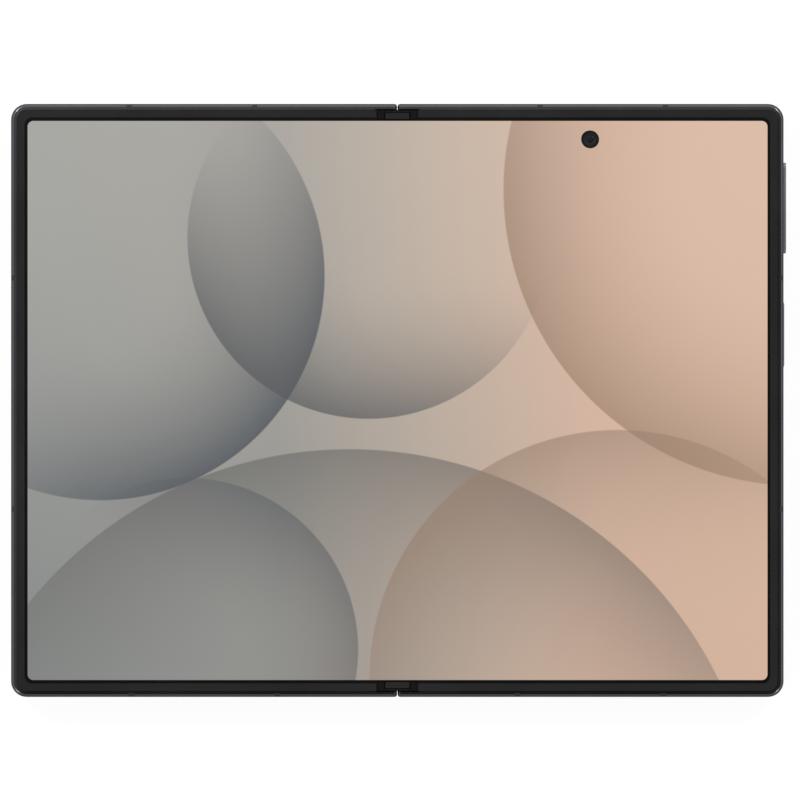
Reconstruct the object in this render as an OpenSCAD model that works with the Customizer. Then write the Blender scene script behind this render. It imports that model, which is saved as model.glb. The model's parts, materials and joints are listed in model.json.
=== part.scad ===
// Book-style folding phone, lying open on its back, with its inner screen up.
// +X runs from the fold line to the half that holds the keys, +Y to the top edge, and +Z out of the screen.
// The origin is on the fold line, at the level that the camera island stands on.

/* [Body] */
// Width of the open phone
body_w = 161.4; // [160.6:0.2:163]
// Height of the phone, along the fold
body_h = 123.9; // [123.5:0.1:124.5]
// Thickness of each half
body_t = 4.9; // [4.9:0.05:5.1]
// Radius of the four outer corners
corner_r = 3.3; // [3.25:0.05:3.8]
// Radius that rounds the back edges of the frame
edge_r = 0.6; // [0.4:0.05:0.7]
// Width of the round slope along the front edges of the frame
slope_w = 0.63; // [0.5:0.01:0.8]
// Height of the camera rings above the back
bump_h = 2.4; // [2.1:0.1:3]

/* [Screen] */
// Distance from the body's side to the inner edge of the bezel trim
trim_in = 2.93; // [2.8:0.01:3]
// Diameter of the hole for the inner camera
punch_d = 3.8; // [3.4:0.1:4.2]

/* [Fold] */
// Gap between the two halves when open
fold_gap = 0.12; // [0.1:0.02:0.3]
// Distance of each folding axis from the fold line
axis_in = 1.2; // [1.19:0.01:1.21]
// Gap between the two bezels when shut
shut_gap = 0.2; // [0.16:0.02:0.24]
// Width of the hinge recess across both halves
recess_w = 8.6; // [8.5:0.05:8.8]
// Width of the cap that fills the middle of the recess
cap_w = 5.4; // [5.2:0.1:5.4]

/* [Keys] */
// Length of the volume key
volume_l = 19; // [17:0.5:20]
// How far the volume key stands out of the frame
volume_out = 0.6; // [0.4:0.05:0.7]
// Length of the power key
power_l = 13.5; // [12:0.5:14]
// How far the power key stands out of the frame
power_out = 0.22; // [0.2:0.02:0.3]

/* [Cameras] */
// Diameter of the rings round the two back lenses
lens_ring_d = 13.4; // [12.8:0.1:14]
// Distance between the two back lenses
lens_pitch = 17; // [16.5:0.1:17.5]

/* [Hidden] */
$fn = 64;
// How far a cut runs past a face
eps = 0.01;
// How far shapes of one piece reach into each other
lap = 0.1;

// Heights in each half, from its back face
glass_t = 0.5;
seal_t = 0.1;
glass_seat = glass_t + seal_t;
ledge_t = 0.5;
web_t = 0.4;
web_z = body_t - 1.65;
web_top = web_z + web_t;
plate_t = 0.1;
screen_t = 0.85;
screen_z = web_top + plate_t;
screen_top = screen_z + screen_t;
lip_z = body_t - 0.1;
band_drop = 0.1;

// Distances from the outer face of the frame, inwards
wall_t = 1.6;
lip_t = 1.25;
slope_r = 0.9;
slope_z = lip_z - band_drop - sqrt(pow(slope_r, 2) - pow(slope_r - slope_w, 2));
ledge_in = 2.4;
web_in = 3.2;
glass_in = 0.95;
end_wall_t = 1.1;
glass_play = 0.05;
cover_seal_in = 1.9;
rail_edge_r = 0.25;

// Fold
half_x = fold_gap / 2;
axis_z = body_t - axis_in + shut_gap / 2;
spine_r = 3.3;
fold_play = 0.1;
cavity_r = spine_r + fold_play;
spine_wall = 0.45;
spine_inner_r = spine_r - spine_wall;
spine_top = 3.2;
spine_l = body_h - 2 * (end_wall_t + fold_play);
spine_end_t = 0.6;
base_play = 0.02;
rail_x = 5.6;
ledge_x = 5.2;
glass_x = 3.2;
notch_r = 0.6;
recess_x = recess_w / 2;
fold_side_x = 4.7;

// Fold gearing: an inside-toothed arc on each half turns a pinion, and two idlers link the pinions
gear_m = 0.15;
pinion_teeth = 9;
arc_teeth = 32;
pressure_angle = 20;
tooth_share = 0.43;
pinion_pr = gear_m * pinion_teeth / 2;
arc_pr = gear_m * arc_teeth / 2;
pinion_tip_r = pinion_pr + 0.7 * gear_m;
pinion_root_r = pinion_pr - 0.95 * gear_m;
arc_tip_r = arc_pr - 0.6 * gear_m;
arc_root_r = arc_pr + 1.0 * gear_m;
mesh_angle = -62;
pinion_x = axis_in + (arc_pr - pinion_pr) * cos(mesh_angle);
pinion_z = axis_z + (arc_pr - pinion_pr) * sin(mesh_angle);
idler_x = pinion_pr;
idler_z = pinion_z - sqrt(pow(2 * pinion_pr, 2) - pow(pinion_x - idler_x, 2));
idler_angle = atan2(pinion_z - idler_z, pinion_x - idler_x);
half_pitch = 180 / pinion_teeth;
idler_phase = 2 * idler_angle + 180 - mesh_angle - half_pitch;
journal_r = 0.3;
journal_play = 0.03;
rotor_in_r = 2.3;
rotor_out_r = spine_inner_r - 0.05;
pocket_r = spine_inner_r + 0.02;
keeper_r = rotor_in_r - 0.05;
rotor_from = -165;
rotor_to = -9;
base_top = spine_top - 0.05;

// Spring clips on the pinion shafts
clips = 6;
clip_t = 0.3;
clip_pitch = 0.38;
clip_r = 0.62;
clip_slit = 0.2;
clip_bar_w = 0.4;
clip_bar_top = idler_z - journal_r - 0.04;

// Hinge module, along the fold: fingers, bulkheads and gears from its lower end
finger_l = 2.6;
wall_l = 1;
mesh_l = 1.8;
clip_l = 2.4;
side_play = 0.1;
arc_y = wall_l + finger_l + wall_l;
mesh_y = arc_y + finger_l + wall_l;
mid_l = mesh_l + clip_l;
module_l = mesh_y + mid_l + mesh_y;
left_mesh_y = module_l - mesh_y - mesh_l;
module_y = 24;
bulkheads = [0, wall_l + finger_l, mesh_y - wall_l];
gear_bay_x = pinion_x + pinion_tip_r + 0.15;

// Folding support plates under the screen, and the fixed strip between them
wing_in = 1.4;
wing_t = 0.25;
wing_x = 4.78;
wing_z = web_top - 0.2;
wing_pin_r = 0.17;
wing_l = 116.6;
wing_window_x = 2.6;
cable_window_x = 3.4;
wing_play = 0.03;
wing_end_play = 0.1;
window_play = 0.3;
strip_x = 1.15;
strip_z = 3.4;
strip_t = 0.2;
strip_l = 117;

// Rotor brackets and their screws
bracket_z = spine_top + 0.1;
bracket_t = 0.25;
bracket_x = 8;
bracket_l = 2 * finger_l + wall_l - 2 * side_play;
screw_x = 6.9;
screw_r = 0.4;
screw_head_r = 0.7;
screw_l = 1.2;
screw_head_t = 0.12;
screw_places = [0.22, 0.78];
pad_z = 1.6;
pad_rim = 0.4;
bracket_play = 0.05;

// Caps at the ends of the spine
cap_play = 0.05;
cap_top = body_t - 0.25;
cap_step = 0.3;
cap_ledge_w = 0.63;
cap_groove_w = 0.22;
cap_edge_w = 0.17;
cap_groove_z = cap_top - 0.9;
cap_side_r = cap_w / 2 - axis_in;

// Ribbon cables through the hinge
cable_t = 0.12;
cable_l = 12;
cable_y = [-19, 9];
cable_slot_x = [3.9, 6.4];
cable_slot_z = 2.8;
cable_play = 0.2;
// Half of a cable's route, from the middle of the spine: distance from the fold line, and height
cable_line = [
    [0, 1.2], [1.6, 1.2], [2.9, 2], [3.6, 2.9], [3.85, 3.36], [4.45, 3.36], [4.75, 3.1], [11.8, 3.1]
];

// Screen
screen_w = 157.4;
screen_h = 119.2;
fold_screen_h = 117.4;
fold_screen_z = web_top + 0.02;
screen_r = 2;
sheet_play = 0.02;
trim_r = 1.5;
punch_x = 40.27;
punch_y = 54.54;
trim_step = 0.08;
trim_bar_z = 3.9;
trim_bar_play = 0.05;
trim_bar_top = body_t - 0.45;
camera_hole_r = 2.9;
camera_bay_r = 3.1;
inner_camera_r = 2.8;
inner_camera_h = 1.3;

// Keys
key_t = 1.9;
key_z = 2.3;
key_play = 0.08;
volume_y = 40.26;
power_y = 13.74;
key_edge = 0.1;
key_flange_t = 0.3;
key_flange_z = [-1.15, 0.85];
key_stem_in = wall_t + 0.1;
rocker_flange_l = 3;
rocker_in = key_stem_in + key_flange_t / 2;
rocker_r = 0.22;
plunger_y = 6.5;
plunger_in = 2.05;
plunger_s = 1.6;
dome_in = 2.22;
dome_h = 0.18;
dome_r = 0.8;
flex_t = 0.15;
flex_z = [1.3, 3.15];
flex_past_power = 8;
flex_past_volume = 10;

// Camera island on the back
island_x = 66.5;
island_y = 42.2;
island_w = 18.4;
island_l = 36.8;
island_t = 1.2;
island_step = 1.2;
lens_glass_r = 5.1;
lens_glass_t = 0.5;
lens_glass_in = 0.2;
lens_hole_r = 5.2;
lens_edge_r = 0.3;
lens_barrel_r = 4.95;
module_s = 11;
module_z = 0.85;
flash_x = 52;
flash_y = 50;
flash_r = 2.2;
flash_l = 0.9;

// Small camera behind the glass of the cover screen
cover_camera_x = 42;
cover_camera_y = 53;
cover_camera_r = 1.9;
cover_camera_play = 0.15;
cover_camera_box = [[-3, -3, 0.7], [3, 3, 2.5]];
cover_display_t = 0.6;

// Plastic breaks in the frame, with the same layout on both halves
break_w = 1.15;
break_in = 0.85;
break_top_x = [29.8, 56];
break_bottom_x = [25.1, 55.5];
break_side_y = [25.6, -22.7];

// Socket, card tray and sound outlets
usb_x = 40.3;
usb_z = 2.15;
usb_w = 8.34;
usb_h = 2.56;
usb_shell = 0.2;
usb_play = 0.05;
usb_l = 7;
usb_in = 0.3;
usb_back_t = 0.6;
usb_tongue = [6.7, 0.7];
usb_tongue_in = 1.6;
usb_bay_w = 9.2;
tray_y = 44;
tray_w = 11;
tray_t = 2;
tray_z = 1.2;
tray_l = 20;
tray_head_l = 1.4;
tray_play = 0.06;
tray_side = 0.3;
tray_bed_z = [1.45, 2.75];
tray_pocket = [12.4, 8.9];
tray_pocket_z = 1.7;
tray_pocket_in = 1.4;
tray_ledge = 0.8;
eject_r = 0.45;
eject_y = 4.2;
eject_l = 3;
reader_wall = 0.6;
reader_end = 3;
speaker_x = [48, 49.6, 51.2, 52.8];
sound_r = 0.45;
sound_z = 2.15;
mic_x = 31;
earpiece_x = [36, 37.6, 39.2, 40.8, 42.4, 44];

// Inner parts, each a box between two corners: (across, along the fold, up) from the middle of the fold
right_battery_box = [[12, -43, 0.85], [76, 16, 3.1]];
main_board_box = [[12, 20, 2.4], [78, 59, 2.9]];
key_side_notch = [[73, power_y - 12, 2], [80, 51.5, 3.2]];
board_camera_s = 12;
board_punch_r = 3.2;
shield_boxes = [
    [[14, 22, 1.1], [34, 40, 2.38]],
    [[36, 22, 1.1], [56, 40, 2.38]],
    [[14, 43, 1.1], [34, 57, 2.38]]
];
coil_place = [42, -14, glass_seat + 0.02];
coil_r = [9, 22];
coil_t = 0.18;
port_board_box = [[28, -59.5, 2.4], [46, -46, 2.9]];
port_notch_w = 9.6;
port_notch_play = 0.4;
speaker_box = [[46.5, -59.4, 0.8], [62, -45, 3.1]];
motor_box = [[12, -59, 0.8], [26, -47, 3.1]];
magnet_y = [-50, -30, -8];
magnet_l = 10;
magnet_in = [1.8, 3.6];
magnet_z = [1.3, 3];
left_battery_box = [[12, -56, 1.3], [76, 24, 3.1]];
left_board_box = [[12, 28, 2.4], [57, 59, 2.9]];
left_board_notch = [[30, 48, 2], [50, 60, 3.2]];
earpiece_box = [[32, 57.2, 1.3], [48, 60.2, 3.1]];

// ---------- Shared shapes ----------

// Lifts a piece from the level of the back face to its place above the ground
module in_place() translate([0, 0, bump_h]) children();

// The left half is the right one, mirrored
module on_left() mirror([1, 0, 0]) children();

// The same at the top and at the bottom of the body
module both_ends() {
    children();
    mirror([0, 1, 0]) children();
}

// A block between two corners
module block(from, to) translate(from) cube(to - from);

module box(corners) block(corners[0], corners[1]);

// Rounded rectangle, centred
module rounded(w, h, r) {
    square([w - 2 * r, h], center = true);
    square([w, h - 2 * r], center = true);
    for (x = [-1, 1], y = [-1, 1]) translate([x * (w / 2 - r), y * (h / 2 - r)]) circle(r);
}

// Long hole or bar with round ends, centred, along the first axis
module stadium(l, w) {
    square([l - w, w], center = true);
    for (x = [-1, 1]) translate([x * (l - w) / 2, 0]) circle(w / 2);
}

// What a round edge of radius r takes off a square corner at the origin
module edge_cut(r) {
    difference() {
        translate([-eps, -eps]) square(r + eps);
        translate([r, r]) circle(r);
    }
}

// Stands a drawing of (across, up) on the XZ plane, and extrudes it along +Y from y0 to y1
module along_y(y0, y1) translate([0, y1, 0]) rotate([90, 0, 0]) linear_extrude(y1 - y0) children();

// The same drawing of (along Y, up), extruded along +X from x0 to x1
module along_x(x0, x1) translate([x0, 0, 0]) rotate([90, 0, 90]) linear_extrude(x1 - x0) children();

// Sweeps a drawing of (distance inwards, up) round the three outer sides of the right half, from x0
module around_half(x0) {
    straight_x = body_w / 2 - corner_r;
    straight_y = body_h / 2 - corner_r;
    translate([0, body_h / 2, 0]) along_x(x0, straight_x) mirror([1, 0]) children();
    translate([0, -body_h / 2, 0]) along_x(x0, straight_x) children();
    translate([body_w / 2, 0, 0]) along_y(-straight_y, straight_y) mirror([1, 0]) children();
    translate([straight_x, straight_y, 0]) outer_corner() children();
    mirror([0, 1, 0]) translate([straight_x, straight_y, 0]) outer_corner() children();
}

// A quarter turn of the same drawing, about a corner of the body
module outer_corner() rotate_extrude(angle = 90) translate([corner_r, 0]) mirror([1, 0]) children();

// Rounded plate of the right half: inset from the outer sides, cut straight at x0
module half_plate(inset, r, x0, t) {
    linear_extrude(t) intersection() {
        rounded(body_w - 2 * inset, body_h - 2 * inset, r);
        translate([x0, -body_h / 2]) square([body_w, body_h]);
    }
}

// ---------- Frames ----------

// What comes off the front edge to leave a round slope outside and a gently tilted band inside it
module front_edge_cut() {
    difference() {
        translate([-eps, slope_z]) square([lip_t + eps, lip_z - slope_z + eps]);
        intersection() {
            translate([slope_r, slope_z]) circle(slope_r);
            square([slope_w, lip_z]);
        }
        polygon([[slope_w - eps, slope_z - eps], [lip_t, slope_z - eps], [lip_t, lip_z],
            [slope_w, lip_z - band_drop]]);
    }
}

module rim_profile() {
    difference() {
        union() {
            square([wall_t, lip_z]);
            translate([0, web_z]) square([web_in, web_t]);
            square([ledge_in, glass_seat + ledge_t]);
        }
        edge_cut(edge_r);
        front_edge_cut();
        translate([lip_t, web_top]) square([web_in, body_t]);
        translate([glass_in - glass_play, -eps]) square([web_in, glass_seat + eps]);
    }
}

// Plain wall that closes the hinge recess at the top and bottom of the body
module end_wall_profile() {
    difference() {
        square([end_wall_t, lip_z]);
        edge_cut(edge_r);
        front_edge_cut();
    }
}

// Skin and beam beside the fold, hollowed round the spine and relieved for the wing plate
module rail_profile() {
    difference() {
        translate([half_x, 0]) square([rail_x - half_x, web_top]);
        spine_outline(cavity_r, body_t);
        translate([glass_x - glass_play, -eps]) square([rail_x, glass_seat + eps]);
    }
}

// Seat of the back glass in the walls beside the fold
module end_glass_seat() {
    seat_y = body_h / 2 - glass_in + glass_play;
    block([glass_x - glass_play, -seat_y, -eps], [fold_side_x + 2 * lap, seat_y, glass_seat]);
}

// Room for the wing plate and its rounded edge
module wing_relief() {
    seat_r = wing_pin_r + wing_play;
    block([glass_x, -wing_l / 2 - wing_end_play, wing_z - seat_r],
        [wing_x + seat_r, wing_l / 2 + wing_end_play, body_t]);
}

// Rounds off what would meet the other half as the two turn about their axes
module fold_rounding() {
    along_y(-body_h, body_h) {
        translate([half_x, 0]) edge_cut(rail_edge_r);
        difference() {
            translate([half_x - eps, axis_z]) square([axis_in - half_x + eps, body_t]);
            translate([axis_in, axis_z]) circle(axis_in - half_x);
        }
    }
}

module frame_web() {
    translate([0, 0, web_z]) linear_extrude(web_t)
        translate([rail_x - lap, -(body_h / 2 - web_in + lap)])
            square([body_w / 2 - rail_x - web_in + 2 * lap, body_h - 2 * web_in + 2 * lap]);
}

// Rounds off the wall's end beside the fold line
module fold_notch() {
    both_ends() translate([half_x, body_h / 2, -eps]) mirror([0, 1, 0])
        linear_extrude(body_t) edge_cut(notch_r);
}

// Block that a rotor bracket is screwed to, for a bracket whose lower end is at y0
module bracket_pad(y0) {
    block([rail_x - lap, y0 - pad_rim, pad_z],
        [bracket_x + pad_rim, y0 + bracket_l + pad_rim, web_z + lap / 2]);
}

module bracket_recess(y0) {
    block([recess_x - 1, y0 - bracket_play, bracket_z],
        [bracket_x + bracket_play, y0 + bracket_l + bracket_play, body_t]);
    for (dy = screw_places)
        translate([screw_x, y0 + dy * bracket_l, bracket_z + bracket_t - 2 * screw_head_t - screw_l])
            cylinder(r = screw_r + journal_play, h = screw_l + 1);
}

// Slots in the rail and the web that the ribbon cables come through
module cable_slots() {
    for (y0 = cable_y)
        block([cable_slot_x[0], y0 - cable_play, cable_slot_z],
            [cable_slot_x[1], y0 + cable_l + cable_play, body_t]);
}

// Lower ends of the two brackets of the right half, and of the left one's
function right_brackets() = [module_y + wall_l + side_play, -module_y - module_l + wall_l + side_play];
function left_brackets() =
    [for (y0 = [module_y, -module_y - module_l]) y0 + module_l - wall_l - side_play - bracket_l];

module break_bands(t) {
    side_x = body_w / 2;
    top_y = body_h / 2;
    half_w = break_w / 2;
    for (x = break_top_x) block([x - half_w, top_y - t, -eps], [x + half_w, top_y + eps, body_t]);
    for (x = break_bottom_x) block([x - half_w, -top_y - eps, -eps], [x + half_w, -top_y + t, body_t]);
    for (y = break_side_y) block([side_x - t, y - half_w, -eps], [side_x + eps, y + half_w, body_t]);
}

module half_frame(brackets) {
    difference() {
        union() {
            around_half(fold_side_x) rim_profile();
            both_ends()
                translate([0, body_h / 2, 0])
                    along_x(half_x, fold_side_x + lap) mirror([1, 0]) end_wall_profile();
            along_y(-body_h / 2 + end_wall_t - lap, body_h / 2 - end_wall_t + lap) rail_profile();
            frame_web();
            for (y0 = brackets) bracket_pad(y0);
        }
        end_glass_seat();
        fold_notch();
        fold_rounding();
        wing_relief();
        cable_slots();
        for (y0 = brackets) bracket_recess(y0);
        break_bands(break_in);
    }
}

module round_outlets(xs, y0, y1) {
    for (x = xs) translate([x, y0, sound_z]) rotate([-90, 0, 0]) cylinder(r = sound_r, h = y1 - y0);
}

module usb_cut(l, grow) {
    translate([usb_x, -body_h / 2 - eps, usb_z]) rotate([-90, 0, 0]) linear_extrude(l)
        stadium(usb_w + 2 * grow, usb_h + 2 * grow);
}

module key_cut(y, l) {
    translate([body_w / 2 - wall_t - eps, y, key_z]) rotate([90, 0, 90]) linear_extrude(wall_t + 1)
        stadium(l + 2 * key_play, key_t + 2 * key_play);
}

module right_frame() {
    color([0.2, 0.2, 0.23]) in_place() difference() {
        half_frame(right_brackets());
        usb_cut(2 * wall_t, usb_shell + usb_play);
        block([usb_x - usb_bay_w / 2, -body_h / 2 + wall_t, glass_seat],
            [usb_x + usb_bay_w / 2, -body_h / 2 + usb_l + 1, web_top + eps]);
        round_outlets(concat(speaker_x, [mic_x]), -body_h / 2 - 1, -body_h / 2 + wall_t + 1);
        key_cut(volume_y, volume_l);
        key_cut(power_y, power_l);
        translate([punch_x, punch_y, web_z - 1]) cylinder(r = camera_bay_r, h = 2);
    }
}

module left_frame() {
    color([0.2, 0.2, 0.23]) in_place() on_left() difference() {
        half_frame(left_brackets());
        round_outlets(earpiece_x, body_h / 2 - wall_t - 1, body_h / 2 + 1);
        block([body_w / 2 - web_in - 1, tray_y - tray_w / 2, tray_z],
            [body_w / 2 + 1, tray_y + tray_w / 2, tray_z + tray_t]);
    }
}

module antenna_breaks() {
    intersection() {
        around_half(fold_side_x) difference() {
            rim_profile();
            translate([break_in - eps, -1]) square([web_in, body_t + 2]);
        }
        break_bands(break_in);
    }
}

module right_antenna_breaks() color([0.13, 0.13, 0.15]) in_place() antenna_breaks();

module left_antenna_breaks() color([0.13, 0.13, 0.15]) in_place() on_left() antenna_breaks();

// ---------- Back faces ----------

module back_plate(t) half_plate(glass_in, corner_r - glass_in, glass_x, t);

module island_outline(grow) {
    translate([island_x, island_y]) rotate(90) stadium(island_l + 2 * grow, island_w + 2 * grow);
}

function lens_centres() = [for (side = [-1, 1]) [island_x, island_y + side * lens_pitch / 2]];

module right_back_glass() {
    color([0.1, 0.1, 0.13]) in_place() difference() {
        back_plate(glass_t);
        translate([0, 0, -eps]) linear_extrude(1) island_outline(-island_step);
        translate([flash_x, flash_y, -eps]) cylinder(r = flash_r + glass_play, h = 1);
    }
}

module seal_ring(side_inset, fold_inset) {
    translate([0, 0, glass_t]) difference() {
        half_plate(glass_in + glass_play, corner_r - glass_in - glass_play, glass_x + glass_play, seal_t);
        translate([0, 0, -eps]) half_plate(side_inset, corner_r - ledge_in, fold_inset, 1);
    }
}

module right_back_seal() color([0.05, 0.05, 0.05]) in_place() seal_ring(ledge_in, ledge_x);

module cover_seal() color([0.05, 0.05, 0.05]) in_place() on_left() seal_ring(cover_seal_in, ledge_x);

module cover_glass() {
    color([0.02, 0.02, 0.03]) in_place() on_left() back_plate(glass_t);
}

module camera_island() {
    color([0.16, 0.16, 0.19]) in_place() difference() {
        union() {
            translate([0, 0, -island_t]) linear_extrude(island_t) island_outline(0);
            translate([0, 0, -eps])
                linear_extrude(glass_seat + 2 * lap) island_outline(-island_step - glass_play);
        }
        for (c = lens_centres()) translate([c[0], c[1], -bump_h]) cylinder(r = lens_hole_r, h = 2 * bump_h);
    }
}

module camera_lens_rings() {
    color([0.3, 0.3, 0.33]) in_place() for (c = lens_centres()) translate([c[0], c[1], -bump_h])
        rotate_extrude() difference() {
            translate([lens_glass_r + glass_play, 0])
                square([lens_ring_d / 2 - lens_glass_r - glass_play, bump_h - island_t]);
            translate([lens_ring_d / 2, 0]) mirror([1, 0]) edge_cut(lens_edge_r);
        }
}

module camera_lens_glasses() {
    color([0.03, 0.03, 0.05]) in_place() for (c = lens_centres())
        translate([c[0], c[1], -bump_h + lens_glass_in]) cylinder(r = lens_glass_r, h = lens_glass_t);
}

module camera_modules() {
    barrel_z = -bump_h + lens_glass_in + lens_glass_t + glass_play;
    color([0.08, 0.08, 0.08]) in_place() for (c = lens_centres()) translate([c[0], c[1], 0]) {
        translate([0, 0, barrel_z]) cylinder(r = lens_barrel_r, h = module_z + lap - barrel_z);
        block([-module_s / 2, -module_s / 2, module_z], [module_s / 2, module_s / 2, web_z - lap]);
    }
}

module flash_lens() {
    color([0.95, 0.93, 0.8]) in_place() translate([flash_x, flash_y, 0]) cylinder(r = flash_r, h = flash_l);
}

// ---------- Screen and bezels ----------

// One half of a sheet of the screen, between the fold part and its outer edge
module screen_sheet(t) {
    linear_extrude(t) intersection() {
        rounded(screen_w, screen_h, screen_r);
        translate([recess_x + sheet_play, -screen_h / 2]) square([screen_w, screen_h]);
    }
}

module right_screen() {
    color([0.75, 0.66, 0.58]) in_place() difference() {
        translate([0, 0, screen_z]) screen_sheet(screen_t);
        translate([punch_x, punch_y, 0]) cylinder(r = punch_d / 2, h = body_t + 1);
    }
}

module left_screen() {
    color([0.6, 0.61, 0.6]) in_place() on_left() translate([0, 0, screen_z]) screen_sheet(screen_t);
}

module right_support_plate() {
    color([0.7, 0.7, 0.7]) in_place() difference() {
        translate([0, 0, web_top]) screen_sheet(plate_t);
        translate([punch_x, punch_y, 0]) cylinder(r = camera_hole_r, h = body_t + 1);
    }
}

module left_support_plate() {
    color([0.7, 0.7, 0.7]) in_place() on_left() translate([0, 0, web_top]) screen_sheet(plate_t);
}

module bezel_trim() {
    trim_out = lip_t + 0.03;
    difference() {
        union() {
            translate([0, 0, web_top])
                half_plate(trim_out, corner_r - trim_out, recess_x, body_t - trim_step - web_top);
            translate([0, 0, web_top])
                half_plate(trim_out + trim_step, corner_r - trim_out - trim_step, recess_x + trim_step,
                    body_t - web_top);
            both_ends() block([cap_w / 2 + trim_bar_play, fold_screen_h / 2 + lap, trim_bar_z],
                [recess_x + 1, body_h / 2 - trim_out, trim_bar_top]);
        }
        translate([0, 0, body_t - trim_step]) half_plate(trim_in - trim_step, trim_r + trim_step, 0, 1);
        translate([0, 0, trim_bar_top]) half_plate(trim_in, trim_r, 0, 1);
        translate([0, 0, web_top - eps]) half_plate(trim_in, trim_r, recess_x, body_t);
        translate([0, 0, web_top - eps])
            half_plate((body_w - screen_w) / 2 - glass_play, screen_r + glass_play, recess_x - eps,
                screen_top + sheet_play - web_top);
    }
}

module right_bezel_trim() color([0.02, 0.02, 0.02]) in_place() bezel_trim();

module left_bezel_trim() color([0.02, 0.02, 0.02]) in_place() on_left() bezel_trim();

module screen_fold() {
    color([0.68, 0.64, 0.6]) in_place()
        block([-recess_x, -fold_screen_h / 2, fold_screen_z], [recess_x, fold_screen_h / 2, screen_top]);
}

module inner_camera() {
    color([0.03, 0.03, 0.04]) in_place() translate([punch_x, punch_y, 0]) {
        translate([0, 0, web_top - inner_camera_h]) cylinder(r = inner_camera_r, h = inner_camera_h);
        translate([0, 0, web_z]) cylinder(r = punch_d / 2 - lap, h = screen_top - web_z - lap);
    }
}

// ---------- Spine ----------

module spine_outline(r, top) {
    difference() {
        union() {
            for (side = [-1, 1]) translate([side * axis_in, axis_z]) circle(r);
            translate([-axis_in, axis_z - r]) square([2 * axis_in, r]);
        }
        translate([-2 * r, top]) square([4 * r, 2 * r]);
    }
}

module spine_cover() {
    color([0.22, 0.22, 0.25]) in_place() difference() {
        along_y(-spine_l / 2, spine_l / 2) spine_outline(spine_r, spine_top);
        along_y(-spine_l / 2 + spine_end_t, spine_l / 2 - spine_end_t) spine_outline(spine_inner_r, body_t);
    }
}

// What the fingers of the right rotor sweep: round a keeper, and then right across for the toothed one
module rotor_pockets() {
    along_y(wall_l, wall_l + finger_l) translate([axis_in, axis_z]) difference() {
        circle(pocket_r);
        circle(keeper_r);
    }
    along_y(arc_y, arc_y + finger_l) translate([axis_in, axis_z]) circle(pocket_r);
}

module journal_bores() {
    along_y(arc_y - wall_l - eps, module_l - arc_y + wall_l + eps)
        for (side = [-1, 1]) translate([side * pinion_x, pinion_z]) circle(journal_r + journal_play);
    along_y(mesh_y - wall_l - eps, module_l - mesh_y + wall_l + eps)
        for (side = [-1, 1]) translate([side * idler_x, idler_z]) circle(journal_r + journal_play);
}

// One hinge base, from its lower end at y = 0: a block that fits the spine, with pockets for the moving parts
module hinge_base() {
    difference() {
        union() {
            along_y(0, module_l) spine_outline(spine_inner_r - base_play, base_top);
            for (y = bulkheads) {
                strip_foot(y);
                strip_foot(module_l - wall_l - y);
            }
        }
        rotor_pockets();
        other_hand() rotor_pockets();
        block([-gear_bay_x, mesh_y, 0], [gear_bay_x, mesh_y + mid_l, body_t]);
        journal_bores();
    }
}

// Raised middle of a bulkhead, which the strip under the screen lies on
module strip_foot(y) block([-strip_x + lap, y, base_top - lap], [strip_x - lap, y + wall_l, strip_z]);

// Moves a piece of a hinge module to the upper or the lower module
module upper() in_place() translate([0, module_y, 0]) children();

module lower() in_place() translate([0, -module_y - module_l, 0]) children();

module upper_hinge_base() color([0.55, 0.55, 0.57]) upper() hinge_base();

module lower_hinge_base() color([0.55, 0.55, 0.57]) lower() hinge_base();

// ---------- Gears ----------

function involute(a) = tan(a) - a * PI / 180;

// Half the angle of an involute tooth at radius r, for a gear of pitch radius pr
function half_tooth(r, pr, share, teeth) =
    90 * share * 2 / teeth
    + (involute(pressure_angle) - involute(acos(min(1, pr * cos(pressure_angle) / r)))) * 180 / PI;

function polar(r, a) = [r * cos(a), r * sin(a)];

// Outline of a gear with one tooth centred at angle a0
function gear_points(teeth, pr, tip, root, share, a0) = [
    for (k = [0 : teeth - 1], side = [-1, 1], i = [0 : 4])
        let (r = side < 0 ? root + (tip - root) * i / 4 : tip - (tip - root) * i / 4)
            polar(r, a0 + k * 360 / teeth + side * half_tooth(r, pr, share, teeth))
];

// A gear section about its own shaft, from y = 0, with a tooth centred at angle a0
module gear(a0, l) {
    along_y(0, l) polygon(gear_points(pinion_teeth, pinion_pr, pinion_tip_r, pinion_root_r, tooth_share, a0));
}

module journal(y0, y1) along_y(y0, y1) circle(journal_r);

// Turned about the middle of a module, a right-hand piece takes the left-hand place
module other_hand() translate([0, module_l, 0]) rotate([0, 0, 180]) children();

module each_module() {
    upper() children();
    lower() children();
}

// Right pinion of a module: one gear runs in the toothed finger, and the other one meshes with an idler
module pinion(turn, mesh_from) {
    translate([pinion_x, 0, pinion_z]) {
        translate([0, arc_y + 2 * side_play, 0]) gear(mesh_angle + turn, finger_l - 4 * side_play);
        translate([0, mesh_from + side_play, 0]) gear(mesh_angle + turn, mesh_l - 2 * side_play);
        journal(arc_y - wall_l + side_play, module_l - arc_y - finger_l - side_play);
    }
}

// Right idler of a module, between the two bulkheads of the gear bay
module idler(turn, mesh_from) {
    translate([idler_x, 0, idler_z]) {
        translate([0, mesh_from + side_play, 0]) gear(idler_phase - turn, mesh_l - 2 * side_play);
        journal(mesh_y - wall_l + side_play, module_l - mesh_y + wall_l - side_play);
    }
}

module right_pinions() color([0.75, 0.7, 0.55]) each_module() pinion(0, mesh_y);

module left_pinions() color([0.75, 0.7, 0.55]) each_module() other_hand() pinion(half_pitch, left_mesh_y);

module right_idlers() color([0.75, 0.7, 0.55]) each_module() idler(0, mesh_y);

module left_idlers() color([0.75, 0.7, 0.55]) each_module() other_hand() idler(half_pitch, left_mesh_y);

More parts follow.
